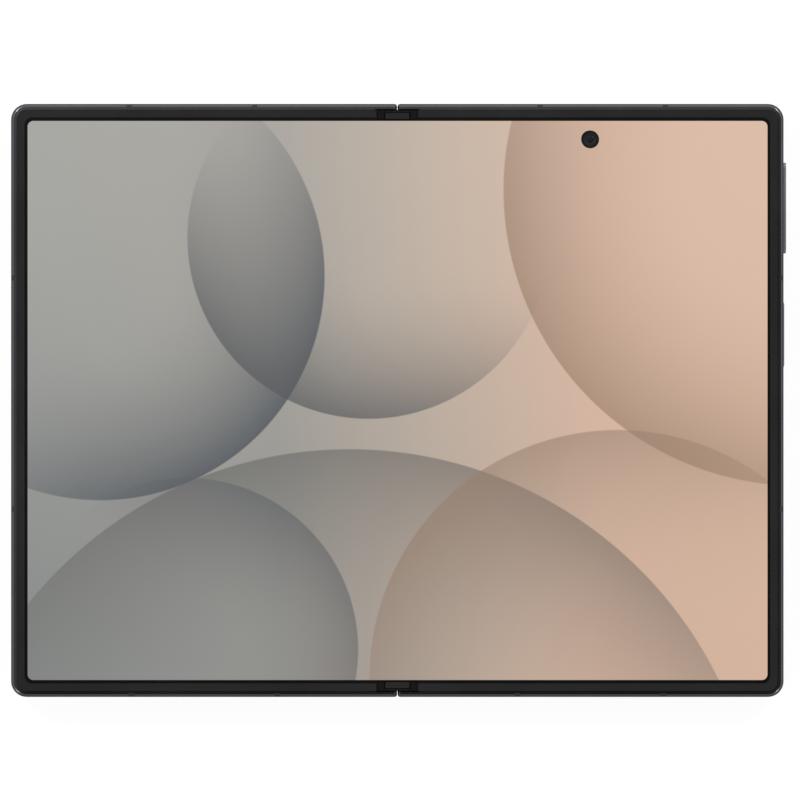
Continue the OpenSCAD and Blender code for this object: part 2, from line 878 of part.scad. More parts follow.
// Spring clip that grips both pinion shafts, as a drawing across the fold
module torque_clip() {
    difference() {
        union() {
            for (side = [-1, 1]) translate([side * pinion_x, pinion_z]) circle(clip_r);
            translate([-pinion_x, clip_bar_top - clip_bar_w]) square([2 * pinion_x, clip_bar_w]);
        }
        for (side = [-1, 1]) translate([side * pinion_x, pinion_z]) {
            circle(journal_r + base_play);
            translate([-clip_slit / 2, 0]) square([clip_slit, 2 * clip_r]);
        }
    }
}

// Two stacks of clips, which hold the fold at any angle
module torque_clips() {
    color([0.6, 0.6, 0.62]) each_module()
        for (i = [0 : clips - 1]) translate([0, mesh_y + mesh_l + clip_slit / 4 + i * clip_pitch, 0])
            along_y(0, clip_t) torque_clip();
}

// ---------- Rotors ----------

module ring_sector(r0, r1, a0, a1) {
    difference() {
        intersection() {
            circle(r1);
            polygon(concat([[0, 0]], [for (i = [0 : 4]) polar(2 * r1, a0 + (a1 - a0) * i / 4)]));
        }
        circle(r0);
    }
}

// Toothed arc about the folding axis; turn is how far the pinion's teeth are moved on
module toothed_arc(turn) {
    difference() {
        ring_sector(arc_tip_r - 0.05, rotor_out_r, rotor_from, rotor_to);
        polygon(gear_points(arc_teeth, arc_pr, arc_root_r, arc_tip_r - 0.06, 1 - tooth_share,
            mesh_angle + turn * pinion_teeth / arc_teeth));
    }
}

// Right rotor of a module: a plain finger round the keeper, a toothed finger, and the bracket that joins them
module rotor(turn) {
    finger_y = wall_l + side_play;
    difference() {
        union() {
            translate([axis_in, 0, axis_z]) {
                along_y(finger_y, wall_l + finger_l - side_play)
                    ring_sector(rotor_in_r, rotor_out_r, rotor_from, rotor_to);
                along_y(arc_y + side_play, arc_y + finger_l - side_play) toothed_arc(turn);
            }
            block([axis_in + rotor_in_r + base_play, finger_y, bracket_z],
                [bracket_x, finger_y + bracket_l, bracket_z + bracket_t]);
        }
        for (dy = screw_places) translate([screw_x, finger_y + dy * bracket_l, 0]) {
            cylinder(r = screw_r + journal_play, h = body_t);
            translate([0, 0, bracket_z + bracket_t - screw_head_t])
                cylinder(r = screw_head_r + journal_play, h = 1);
        }
    }
}

module upper_right_rotor() color([0.62, 0.62, 0.65]) upper() rotor(0);

module lower_right_rotor() color([0.62, 0.62, 0.65]) lower() rotor(0);

module upper_left_rotor() color([0.62, 0.62, 0.65]) upper() other_hand() rotor(half_pitch);

module lower_left_rotor() color([0.62, 0.62, 0.65]) lower() other_hand() rotor(half_pitch);

module bracket_screws(brackets) {
    for (y0 = brackets, dy = screw_places) translate([screw_x, y0 + dy * bracket_l, bracket_z + bracket_t]) {
        translate([0, 0, -screw_head_t]) cylinder(r = screw_head_r, h = screw_head_t);
        translate([0, 0, -screw_head_t - screw_l]) cylinder(r = screw_r, h = screw_l + eps);
    }
}

module right_rotor_screws() color([0.7, 0.7, 0.7]) in_place() bracket_screws(right_brackets());

module left_rotor_screws() color([0.7, 0.7, 0.7]) in_place() on_left() bracket_screws(left_brackets());

// ---------- Screen support at the fold ----------

module wing_plate() {
    difference() {
        union() {
            block([wing_in, -wing_l / 2, web_top - wing_t], [wing_x, wing_l / 2, web_top]);
            translate([wing_x, 0, wing_z]) along_y(-wing_l / 2, wing_l / 2) circle(wing_pin_r);
        }
        for (y0 = [module_y, -module_y - module_l])
            block([wing_window_x, y0 - window_play, 0], [wing_x + 1, y0 + module_l + window_play, body_t]);
        for (y0 = cable_y)
            block([cable_window_x, y0 - window_play, 0], [wing_x + 1, y0 + cable_l + window_play, body_t]);
    }
}

module right_wing_plate() color([0.5, 0.5, 0.52]) in_place() wing_plate();

module left_wing_plate() color([0.5, 0.5, 0.52]) in_place() on_left() wing_plate();

module fold_support_strip() {
    color([0.5, 0.5, 0.52]) in_place()
        block([-strip_x, -strip_l / 2, strip_z], [strip_x, strip_l / 2, strip_z + strip_t]);
}

// Section of the cap above the spine, with round sides that the bezels turn past
module cap_section(z0, z1) {
    intersection() {
        translate([-cap_w / 2, z0]) square([cap_w, z1 - z0]);
        union() {
            translate([-axis_in, z0]) square([2 * axis_in, z1 - z0]);
            for (side = [-1, 1]) translate([side * axis_in, axis_z]) circle(cap_side_r);
        }
    }
}

// Cap that closes the end of the spine: a foot inside the spine cover, and a stepped face in the hinge recess
module end_cap() {
    inner_y = fold_screen_h / 2 + lap;
    foot_y = spine_l / 2 - spine_end_t - cap_play;
    face_y = spine_l / 2 - cap_play;
    ledge_y = face_y - cap_ledge_w;
    difference() {
        union() {
            along_y(inner_y, foot_y) spine_outline(spine_inner_r - base_play, base_top);
            along_y(inner_y, foot_y) cap_section(base_top - lap, cap_top);
            along_y(foot_y - eps, face_y) cap_section(spine_top + cap_play, cap_top - cap_step);
        }
        block([-cap_w, ledge_y, cap_groove_z], [cap_w, ledge_y + cap_groove_w, body_t]);
        block([-cap_w, face_y - cap_edge_w, cap_groove_z], [cap_w, body_h, body_t]);
    }
}

module end_caps() color([0.03, 0.03, 0.03]) in_place() both_ends() end_cap();

// Ribbon cables that dip into the spine on their way from one half to the other
module cable_outline() {
    last = len(cable_line) - 1;
    polygon(concat(cable_line, [for (i = [last : -1 : 0]) cable_line[i] - [0, cable_t]]));
}

module fold_cables() {
    color([0.6, 0.4, 0.15]) in_place() for (y0 = cable_y) along_y(y0, y0 + cable_l) {
        cable_outline();
        mirror([1, 0]) cable_outline();
    }
}

// ---------- Inside the right half ----------

module right_battery() color([0.12, 0.12, 0.13]) in_place() box(right_battery_box);

module main_board() {
    color([0.05, 0.25, 0.12]) in_place() difference() {
        box(main_board_box);
        for (c = lens_centres()) translate([c[0], c[1], web_z]) cube(board_camera_s, center = true);
        translate([punch_x, punch_y, 0]) cylinder(r = board_punch_r, h = body_t);
        box(key_side_notch);
    }
}

module board_shields() color([0.75, 0.75, 0.76]) in_place() for (shield = shield_boxes) box(shield);

module charging_coil() {
    color([0.7, 0.4, 0.25]) in_place() translate(coil_place) difference() {
        cylinder(r = coil_r[1], h = coil_t);
        translate([0, 0, -1]) cylinder(r = coil_r[0], h = 2);
    }
}

module port_board() {
    notch_y = -body_h / 2 + usb_in + usb_l;
    color([0.05, 0.25, 0.12]) in_place() difference() {
        box(port_board_box);
        block([usb_x - port_notch_w / 2, -body_h / 2, 0],
            [usb_x + port_notch_w / 2, notch_y + port_notch_play, body_t]);
    }
}

module usb_socket() {
    color([0.7, 0.7, 0.72]) in_place() translate([usb_x, -body_h / 2, usb_z]) {
        translate([0, usb_in, 0]) rotate([-90, 0, 0]) difference() {
            linear_extrude(usb_l) stadium(usb_w + 2 * usb_shell, usb_h + 2 * usb_shell);
            translate([0, 0, -eps]) linear_extrude(usb_l - usb_back_t) stadium(usb_w, usb_h);
        }
        block([-usb_tongue[0] / 2, usb_tongue_in, -usb_tongue[1] / 2],
            [usb_tongue[0] / 2, usb_l, usb_tongue[1] / 2]);
    }
}

module bottom_speaker() color([0.1, 0.1, 0.1]) in_place() box(speaker_box);

module vibration_motor() color([0.6, 0.6, 0.62]) in_place() box(motor_box);

module side_key_flex() {
    flex_x = body_w / 2 - dome_in - dome_h;
    color([0.6, 0.4, 0.15]) in_place() {
        block([flex_x - flex_t, power_y - flex_past_power, flex_z[0]],
            [flex_x, volume_y + flex_past_volume, flex_z[1]]);
        for (y = [volume_y - plunger_y, volume_y + plunger_y, power_y])
            translate([flex_x - eps, y, key_z]) rotate([0, 90, 0]) cylinder(r = dome_r, h = dome_h + eps);
    }
}

// Magnets that hold the two halves shut
module magnets() {
    for (y = magnet_y)
        block([body_w / 2 - magnet_in[1], y - magnet_l / 2, magnet_z[0]],
            [body_w / 2 - magnet_in[0], y + magnet_l / 2, magnet_z[1]]);
}

module right_magnets() color([0.6, 0.6, 0.6]) in_place() magnets();

// ---------- Inside the left half ----------

module left_magnets() color([0.6, 0.6, 0.6]) in_place() on_left() magnets();

module cover_display() {
    color([0.1, 0.1, 0.12]) in_place() on_left() translate([0, 0, glass_t + eps]) difference() {
        half_plate(ledge_in + lap, corner_r - ledge_in - lap, rail_x + 2 * lap, cover_display_t);
        translate([cover_camera_x, cover_camera_y, -1])
            cylinder(r = cover_camera_r + cover_camera_play, h = 2);
    }
}

module cover_camera() {
    color([0.03, 0.03, 0.04]) in_place() on_left()
        translate([cover_camera_x, cover_camera_y, glass_t + glass_play]) {
            cylinder(r = cover_camera_r, h = 1);
            box(cover_camera_box);
        }
}

module left_battery() color([0.12, 0.12, 0.13]) in_place() on_left() box(left_battery_box);

module left_board() {
    color([0.05, 0.25, 0.12]) in_place() on_left() difference() {
        box(left_board_box);
        box(left_board_notch);
    }
}

module earpiece() color([0.1, 0.1, 0.1]) in_place() on_left() box(earpiece_box);

// Metal shell that the card tray slides into
module card_reader() {
    side_x = body_w / 2;
    half_w = tray_w / 2;
    color([0.72, 0.72, 0.74]) in_place() on_left() difference() {
        block([side_x - tray_l - reader_end, tray_y - half_w - reader_wall, tray_z - eps],
            [side_x - web_in - lap, tray_y + half_w + reader_wall, web_z - base_play]);
        block([side_x - tray_l - 1, tray_y - half_w + lap, tray_z + lap],
            [side_x, tray_y + half_w - lap, tray_z + tray_t - lap]);
    }
}

// Head that fills the slot in the frame, and a bed with a pocket for the card. A pin in the hole frees it
module card_tray() {
    side_x = body_w / 2;
    half_w = tray_w / 2;
    pocket_x = side_x - tray_l + tray_pocket_in;
    color([0.2, 0.2, 0.23]) in_place() on_left() difference() {
        union() {
            block([side_x - tray_head_l, tray_y - half_w + tray_play, tray_z + tray_play],
                [side_x, tray_y + half_w - tray_play, tray_z + tray_t - tray_play]);
            block([side_x - tray_l, tray_y - half_w + tray_side, tray_bed_z[0]],
                [side_x - tray_head_l + eps, tray_y + half_w - tray_side, tray_bed_z[1]]);
        }
        block([pocket_x, tray_y - tray_pocket[1] / 2, tray_pocket_z],
            [pocket_x + tray_pocket[0], tray_y + tray_pocket[1] / 2, body_t]);
        block([pocket_x + tray_ledge, tray_y - tray_pocket[1] / 2 + tray_ledge, 0],
            [pocket_x + tray_pocket[0] - tray_ledge, tray_y + tray_pocket[1] / 2 - tray_ledge, body_t]);
        translate([side_x - eject_l, tray_y - eject_y, tray_z + tray_t / 2]) rotate([0, 90, 0])
            cylinder(r = eject_r, h = 2 * eject_l);
    }
}

// ---------- Side keys ----------

// A bar with round ends in a slot of the frame, with a flange behind the wall that keeps it in
module side_key(y, l, out, flange_l) {
    in_place() translate([body_w / 2, y, key_z]) {
        rotate([90, 0, 90]) translate([0, 0, -key_stem_in])
            linear_extrude(key_stem_in + out - key_edge) stadium(l, key_t);
        rotate([90, 0, 90]) translate([0, 0, out - key_edge - eps])
            linear_extrude(key_edge + eps) stadium(l - 2 * key_edge, key_t - 2 * key_edge);
        block([-key_stem_in - key_flange_t, -flange_l / 2, key_flange_z[0]],
            [-key_stem_in + eps, flange_l / 2, key_flange_z[1]]);
    }
}

// The volume key rocks on a rib in its middle, and presses one of two switches with its plungers
module volume_key() {
    color([0.27, 0.27, 0.31]) {
        side_key(volume_y, volume_l, volume_out, rocker_flange_l);
        in_place() translate([body_w / 2, volume_y, key_z]) {
            for (side = [-1, 1]) translate([0, side * plunger_y, 0])
                block([-plunger_in, -plunger_s / 2, -plunger_s / 2],
                    [-key_stem_in + eps, plunger_s / 2, plunger_s / 2]);
            translate([-rocker_in, 0, key_flange_z[0]])
                cylinder(r = rocker_r, h = key_flange_z[1] - key_flange_z[0]);
        }
    }
}

module power_key() color([0.27, 0.27, 0.31]) side_key(power_y, power_l, power_out, power_l - 2);

// ---------- Nodes ----------

right_frame();
right_antenna_breaks();
right_back_glass();
right_back_seal();
camera_island();
camera_lens_rings();
camera_lens_glasses();
camera_modules();
flash_lens();
right_battery();
main_board();
board_shields();
charging_coil();
port_board();
usb_socket();
bottom_speaker();
vibration_motor();
side_key_flex();
inner_camera();
right_screen();
right_support_plate();
right_bezel_trim();
upper_right_rotor();
lower_right_rotor();
right_rotor_screws();
right_magnets();
left_frame();
left_antenna_breaks();
cover_glass();
cover_seal();
cover_display();
cover_camera();
left_battery();
left_board();
earpiece();
card_reader();
left_screen();
left_support_plate();
left_bezel_trim();
upper_left_rotor();
lower_left_rotor();
left_rotor_screws();
left_magnets();
spine_cover();
upper_hinge_base();
lower_hinge_base();
torque_clips();
end_caps();
fold_support_strip();
fold_cables();
screen_fold();
right_pinions();
left_pinions();
right_idlers();
left_idlers();
right_wing_plate();
left_wing_plate();
volume_key();
power_key();
card_tray();
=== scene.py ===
import json
import math

import bmesh
import bpy
from mathutils import Matrix, Vector


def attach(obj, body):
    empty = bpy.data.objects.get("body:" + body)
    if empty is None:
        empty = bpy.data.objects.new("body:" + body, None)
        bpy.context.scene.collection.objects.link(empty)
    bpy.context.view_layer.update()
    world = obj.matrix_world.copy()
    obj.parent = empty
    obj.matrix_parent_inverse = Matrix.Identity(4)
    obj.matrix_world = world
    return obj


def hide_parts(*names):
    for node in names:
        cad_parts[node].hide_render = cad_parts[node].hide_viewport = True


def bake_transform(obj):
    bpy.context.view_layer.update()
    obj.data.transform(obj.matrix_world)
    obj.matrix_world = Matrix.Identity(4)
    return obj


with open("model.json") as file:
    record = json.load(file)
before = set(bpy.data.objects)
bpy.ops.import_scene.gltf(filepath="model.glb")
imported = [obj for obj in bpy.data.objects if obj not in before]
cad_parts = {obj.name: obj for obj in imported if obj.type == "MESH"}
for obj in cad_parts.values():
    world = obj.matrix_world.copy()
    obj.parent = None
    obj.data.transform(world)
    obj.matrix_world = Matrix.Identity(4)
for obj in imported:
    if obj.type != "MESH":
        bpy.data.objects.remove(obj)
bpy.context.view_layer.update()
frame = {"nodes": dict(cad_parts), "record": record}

MM = 0.001

# Heights above the ground and places in the plane, in millimetres, as the solids have them
BACK_Z = 2.4
SCREEN_Z = BACK_Z + 4.6
FOLD_SCREEN_Z = BACK_Z + 3.67
RECESS_X = 4.3
FOLD_EDGE_X = 4.32
# Millimetres in one unit of the fold's flat map
FLAT_MM = 100.0
FOLD_SCREEN_H = 117.4
SIDE_X = 80.7
END_Y = 61.95
PUNCH = (40.27, 54.54)
LENSES = ((66.5, 33.7), (66.5, 50.7))
FLASH = (52.0, 50.0)
COIL = (42.0, -14.0)
COVER_CAMERA = (-42.0, 53.0)
COVER_SCREEN_X, COVER_SCREEN_W, COVER_SCREEN_H = -41.5, 73.2, 118.4
USB = (40.3, -61.95, BACK_Z + 2.15)
KEY_Z = BACK_Z + 2.3
BOTTOM_OUTLETS = (31.0, 48.0, 49.6, 51.2, 52.8)
TOP_OUTLETS = (-36.0, -37.6, -39.2, -40.8, -42.4, -44.0)
OUTLET_Z = BACK_Z + 2.15
MESH_R, MESH_T = 0.44, 0.08


# ---------- Materials ----------


def grey(value, tint=(1.0, 1.0, 1.0)):
    """A grey or tinted colour of a given brightness."""
    return (value * tint[0], value * tint[1], value * tint[2], 1.0)


def new_group(name, inputs, outputs):
    """A shader node group with named sockets, and its own nodes and links to fill in."""
    group = bpy.data.node_groups.new(name, "ShaderNodeTree")
    for label, kind, value in inputs:
        socket = group.interface.new_socket(label, in_out="INPUT", socket_type=kind)
        if value is not None:
            socket.default_value = value
    for label, kind in outputs:
        group.interface.new_socket(label, in_out="OUTPUT", socket_type=kind)
    start = group.nodes.new("NodeGroupInput")
    end = group.nodes.new("NodeGroupOutput")
    return group, start, end


def math_node(tree, operation, a, b=None, clamp=False):
    node = tree.nodes.new("ShaderNodeMath")
    node.operation = operation
    node.use_clamp = clamp
    for socket, value in zip(node.inputs, (a, b)):
        if value is None:
            continue
        if isinstance(value, (int, float)):
            socket.default_value = value
        else:
            tree.links.new(value, socket)
    return node.outputs[0]


def ramp_between(tree, value, low, high, to_low=0.0, to_high=1.0, smooth=True):
    """A value that goes from to_low to to_high while the input goes from low to high."""
    node = tree.nodes.new("ShaderNodeMapRange")
    node.interpolation_type = "SMOOTHSTEP" if smooth else "LINEAR"
    tree.links.new(value, node.inputs["Value"])
    for name, number in (("From Min", low), ("From Max", high), ("To Min", to_low), ("To Max", to_high)):
        if isinstance(number, (int, float)):
            node.inputs[name].default_value = number
        else:
            tree.links.new(number, node.inputs[name])
    return node.outputs["Result"]


def mix_colour(tree, factor, a, b, blend="MIX"):
    node = tree.nodes.new("ShaderNodeMix")
    node.data_type = "RGBA"
    node.blend_type = blend
    for socket, value in ((node.inputs["Factor"], factor), (node.inputs["A"], a), (node.inputs["B"], b)):
        if isinstance(value, (int, float, tuple)):
            socket.default_value = value
        else:
            tree.links.new(value, socket)
    return node.outputs["Result"]


def coordinates(tree, place):
    """The X, Y and Z of a place."""
    node = tree.nodes.new("ShaderNodeSeparateXYZ")
    tree.links.new(place, node.inputs["Vector"])
    return node.outputs


def noise(tree, place, scale, detail=2.0, roughness=0.5):
    node = tree.nodes.new("ShaderNodeTexNoise")
    tree.links.new(place, node.inputs["Vector"])
    node.inputs["Detail"].default_value = detail
    node.inputs["Roughness"].default_value = roughness
    if isinstance(scale, (int, float)):
        node.inputs["Scale"].default_value = scale
    else:
        tree.links.new(scale, node.inputs["Scale"])
    return node.outputs["Fac"]


def grain_group():
    """Fine texture of a blasted, moulded or etched surface, with slow changes of tone and gloss over it."""
    group, start, end = new_group(
        "Surface grain",
        (
            ("Place", "NodeSocketVector", None),
            ("Grain size", "NodeSocketFloat", 0.1),
            ("Dark tone", "NodeSocketColor", (0.1, 0.1, 0.1, 1.0)),
            ("Light tone", "NodeSocketColor", (0.2, 0.2, 0.2, 1.0)),
            ("Low roughness", "NodeSocketFloat", 0.3),
            ("High roughness", "NodeSocketFloat", 0.4),
        ),
        (("Colour", "NodeSocketColor"), ("Roughness", "NodeSocketFloat"), ("Height", "NodeSocketFloat")),
    )
    scale = math_node(group, "DIVIDE", 1.0 / MM, start.outputs["Grain size"])
    fine = noise(group, start.outputs["Place"], scale, detail=3.0, roughness=0.6)
    slow = noise(group, start.outputs["Place"], 60.0, detail=2.0)
    fine_part = math_node(group, "MULTIPLY", fine, 0.6)
    slow_part = math_node(group, "MULTIPLY", slow, 0.4)
    share = ramp_between(group, math_node(group, "ADD", fine_part, slow_part), 0.35, 0.65)
    colour = mix_colour(group, share, start.outputs["Dark tone"], start.outputs["Light tone"])
    gloss = ramp_between(group, slow, 0.3, 0.7, start.outputs["Low roughness"], start.outputs["High roughness"])
    group.links.new(colour, end.inputs["Colour"])
    group.links.new(gloss, end.inputs["Roughness"])
    group.links.new(fine, end.inputs["Height"])
    return group


def wear_group():
    """Where hands and pockets polish the outer edges: near the front and back edges, broken up by noise."""
    group, start, end = new_group(
        "Edge wear",
        (
            ("Place", "NodeSocketVector", None),
            ("Middle height", "NodeSocketFloat", 0.005),
            ("Edge height", "NodeSocketFloat", 0.002),
            ("Colour", "NodeSocketColor", (0.1, 0.1, 0.1, 1.0)),
            ("Worn colour", "NodeSocketColor", (0.3, 0.3, 0.3, 1.0)),
            ("Roughness", "NodeSocketFloat", 0.4),
        ),
        (("Colour", "NodeSocketColor"), ("Roughness", "NodeSocketFloat")),
    )
    height = coordinates(group, start.outputs["Place"])["Z"]
    off = math_node(group, "ABSOLUTE", math_node(group, "SUBTRACT", height, start.outputs["Middle height"]))
    band = ramp_between(
        group, math_node(group, "SUBTRACT", off, start.outputs["Edge height"]), -0.35 * MM, 0.05 * MM
    )
    spots = ramp_between(group, noise(group, start.outputs["Place"], 420.0, detail=5.0, roughness=0.7), 0.5, 0.68)
    share = math_node(group, "MULTIPLY", math_node(group, "MULTIPLY", band, spots), 0.16)
    group.links.new(
        mix_colour(group, share, start.outputs["Colour"], start.outputs["Worn colour"]), end.inputs["Colour"]
    )
    group.links.new(
        math_node(group, "SUBTRACT", start.outputs["Roughness"], math_node(group, "MULTIPLY", share, 0.15)),
        end.inputs["Roughness"],
    )
    return group


def sheet_group():
    """One translucent round sheet of the picture, darker along one side of its rim and clear in its middle."""
    group, start, end = new_group(
        "Round sheet",
        (
            ("Place", "NodeSocketVector", None),
            ("Under", "NodeSocketColor", (0.5, 0.5, 0.5, 1.0)),
            ("Centre", "NodeSocketVector", None),
            ("Radius", "NodeSocketFloat", 40.0),
            ("Fade", "NodeSocketFloat", 30.0),
            ("Dark side", "NodeSocketVector", (1.0, 0.0, 0.0)),
            ("Shade", "NodeSocketColor", (0.1, 0.1, 0.1, 1.0)),
            ("Strength", "NodeSocketFloat", 0.8),
        ),
        (("Colour", "NodeSocketColor"),),
    )
    arm = group.nodes.new("ShaderNodeVectorMath")
    arm.operation = "SUBTRACT"
    group.links.new(start.outputs["Place"], arm.inputs[0])
    group.links.new(start.outputs["Centre"], arm.inputs[1])
    far = group.nodes.new("ShaderNodeVectorMath")
    far.operation = "LENGTH"
    group.links.new(arm.outputs["Vector"], far.inputs[0])
    unit = group.nodes.new("ShaderNodeVectorMath")
    unit.operation = "NORMALIZE"
    group.links.new(arm.outputs["Vector"], unit.inputs[0])
    facing = group.nodes.new("ShaderNodeVectorMath")
    facing.operation = "DOT_PRODUCT"
    group.links.new(unit.outputs["Vector"], facing.inputs[0])
    group.links.new(start.outputs["Dark side"], facing.inputs[1])
    inwards = math_node(group, "SUBTRACT", start.outputs["Radius"], far.outputs["Value"])
    inside = ramp_between(group, inwards, 0.0, 0.35)
    rim = ramp_between(
        group, math_node(group, "DIVIDE", inwards, start.outputs["Fade"]), 0.0, 1.0, 1.0, 0.0, smooth=False
    )
    rim = math_node(group, "POWER", rim, 1.7)
    side = ramp_between(group, facing.outputs["Value"], -0.25, 1.0)
    share = math_node(group, "MULTIPLY", math_node(group, "MULTIPLY", inside, rim), side)
    share = math_node(group, "MULTIPLY", share, start.outputs["Strength"], clamp=True)
    group.links.new(mix_colour(group, share, start.outputs["Under"], start.outputs["Shade"]), end.inputs["Colour"])
    return group


GRAIN = grain_group()
WEAR = wear_group()
SHEET = sheet_group()

# Round sheets of the picture, from the lowest to the top one:
# centre, radius, how far the shade fades, the side that is dark, shade, strength
PICTURE_SHEETS = (
    ((-10.0, -96.0), 86.0, 44.0, (0.10, 0.99), (0.118, 0.118, 0.112), 0.62),
    ((84.0, 44.0), 62.0, 40.0, (-0.80, -0.60), (0.330, 0.215, 0.145), 0.72),
    ((-62.0, 26.0), 47.0, 34.0, (0.75, -0.66), (0.085, 0.098, 0.115), 0.90),
    ((46.0, -58.0), 52.0, 36.0, (-0.55, 0.83), (0.300, 0.205, 0.145), 0.62),
    ((-6.0, 34.0), 38.0, 30.0, (-0.45, -0.89), (0.100, 0.105, 0.112), 0.80),
    ((-44.0, -52.0), 36.0, 26.0, (0.86, 0.50), (0.110, 0.118, 0.128), 0.66),
)


def picture_group():
    """The picture on the inner screen, from a place in millimetres: grey to peach, under round sheets."""
    group, start, end = new_group(
        "Screen picture",
        (("Place", "NodeSocketVector", None),),
        (("Colour", "NodeSocketColor"), ("Lit", "NodeSocketFloat")),
    )
    place = coordinates(group, start.outputs["Place"])
    across = ramp_between(group, place["X"], -78.0, 78.0, smooth=False)
    rows = []
    for stops in (
        ((0.0, (0.384, 0.384, 0.362)), (0.34, (0.405, 0.386, 0.355)), (0.56, (0.560, 0.465, 0.385)),
         (0.76, (0.700, 0.490, 0.382)), (1.0, (0.706, 0.503, 0.394))),
        ((0.0, (0.255, 0.266, 0.262)), (0.34, (0.290, 0.290, 0.274)), (0.56, (0.450, 0.375, 0.315)),
         (0.76, (0.610, 0.430, 0.330)), (1.0, (0.660, 0.455, 0.342))),
    ):
        ramp = group.nodes.new("ShaderNodeValToRGB")
        group.links.new(across, ramp.inputs["Fac"])
        elements = ramp.color_ramp.elements
        elements[0].position, elements[0].color = stops[0][0], (*stops[0][1], 1.0)
        elements[1].position, elements[1].color = stops[-1][0], (*stops[-1][1], 1.0)
        for position, colour in stops[1:-1]:
            elements.new(position).color = (*colour, 1.0)
        rows.append(ramp.outputs["Color"])
    up = ramp_between(group, place["Y"], -60.0, 60.0)
    colour = mix_colour(group, up, rows[1], rows[0])
    for centre, radius, fade, dark_side, shade, strength in PICTURE_SHEETS:
        sheet = group.nodes.new("ShaderNodeGroup")
        sheet.node_tree = SHEET
        group.links.new(start.outputs["Place"], sheet.inputs["Place"])
        group.links.new(colour, sheet.inputs["Under"])
        sheet.inputs["Centre"].default_value = (*centre, 0.0)
        sheet.inputs["Radius"].default_value = radius
        sheet.inputs["Fade"].default_value = fade
        sheet.inputs["Dark side"].default_value = (*dark_side, 0.0)
        sheet.inputs["Shade"].default_value = (*shade, 1.0)
        sheet.inputs["Strength"].default_value = strength
        colour = sheet.outputs["Colour"]
    # The lit area is a rounded rectangle, a little to the right of the fold line's middle
    half_w, half_h, corner = 77.23, 58.36, 1.2
    x = math_node(group, "ABSOLUTE", math_node(group, "SUBTRACT", place["X"], 0.05))
    y = math_node(group, "ABSOLUTE", place["Y"])
    x = math_node(group, "MAXIMUM", math_node(group, "SUBTRACT", x, half_w - corner), 0.0)
    y = math_node(group, "MAXIMUM", math_node(group, "SUBTRACT", y, half_h - corner), 0.0)
    squares = [math_node(group, "MULTIPLY", value, value) for value in (x, y)]
    far = math_node(group, "SQRT", math_node(group, "ADD", *squares))
    group.links.new(ramp_between(group, far, corner - 0.04, corner + 0.04, 1.0, 0.0), end.inputs["Lit"])
    group.links.new(colour, end.inputs["Colour"])
    return group


PICTURE = picture_group()


def new_material(name):
    material = bpy.data.materials.new(name)
    material.use_nodes = True
    shader = material.node_tree.nodes["Principled BSDF"]
    return material, material.node_tree, shader


def object_place(tree):
    return tree.nodes.new("ShaderNodeTexCoord").outputs["Object"]


def group_in(tree, group, place, **values):
    node = tree.nodes.new("ShaderNodeGroup")
    node.node_tree = group
    tree.links.new(place, node.inputs["Place"])
    for name, value in values.items():
        node.inputs[name.replace("_", " ")].default_value = value
    return node


def bump(tree, shader, height, distance, strength=0.3):
    node = tree.nodes.new("ShaderNodeBump")
    node.inputs["Strength"].default_value = strength
    node.inputs["Distance"].default_value = distance
    tree.links.new(height, node.inputs["Height"])
    tree.links.new(node.outputs["Normal"], shader.inputs["Normal"])


def grained(name, dark, light, grain_size, roughness, metallic=0.0, depth=0.004, worn=None, **fixed):
    """A blasted, moulded or ground finish; worn is the colour under the finish, which shows at the outer edges."""
    material, tree, shader = new_material(name)
    place = object_place(tree)
    grain = group_in(
        tree, GRAIN, place, Grain_size=grain_size, Dark_tone=dark, Light_tone=light,
        Low_roughness=roughness[0], High_roughness=roughness[1],
    )
    colour, gloss = grain.outputs["Colour"], grain.outputs["Roughness"]
    if worn:
        wear = group_in(
            tree, WEAR, place, Middle_height=(BACK_Z + 2.45) * MM, Edge_height=2.4 * MM, Worn_colour=worn
        )
        tree.links.new(colour, wear.inputs["Colour"])
        tree.links.new(gloss, wear.inputs["Roughness"])
        colour, gloss = wear.outputs["Colour"], wear.outputs["Roughness"]
    tree.links.new(colour, shader.inputs["Base Color"])
    tree.links.new(gloss, shader.inputs["Roughness"])
    shader.inputs["Metallic"].default_value = metallic
    for label, value in fixed.items():
        shader.inputs[label.replace("_", " ")].default_value = value
    bump(tree, shader, grain.outputs["Height"], depth * MM)
    return material


def bezel_finish_with_painted_shade(name):
    """Fine-textured bezel, with painted shade on the trims beside the caps of the hinge recess."""
    material = grained(name, grey(0.0105), grey(0.0135), 0.1, (0.45, 0.52), Specular_IOR_Level=0.2)
    tree = material.node_tree
    base = tree.nodes["Principled BSDF"].inputs["Base Color"]
    # Painted shade: from about 2.6 to 4.3 mm off the fold line the trims are near black, standing in for the
    # recess's shadow
    off = math_node(tree, "ABSOLUTE", coordinates(tree, object_place(tree))["X"])
    outside = ramp_between(tree, off, (RECESS_X - 0.05) * MM, (RECESS_X + 0.05) * MM)
    inside = ramp_between(tree, off, (RECESS_X - 1.6) * MM, (RECESS_X - 1.75) * MM)
    bezel = math_node(tree, "MAXIMUM", outside, inside)
    tree.links.new(mix_colour(tree, bezel, grey(0.0012), base.links[0].from_socket), base)
    return material


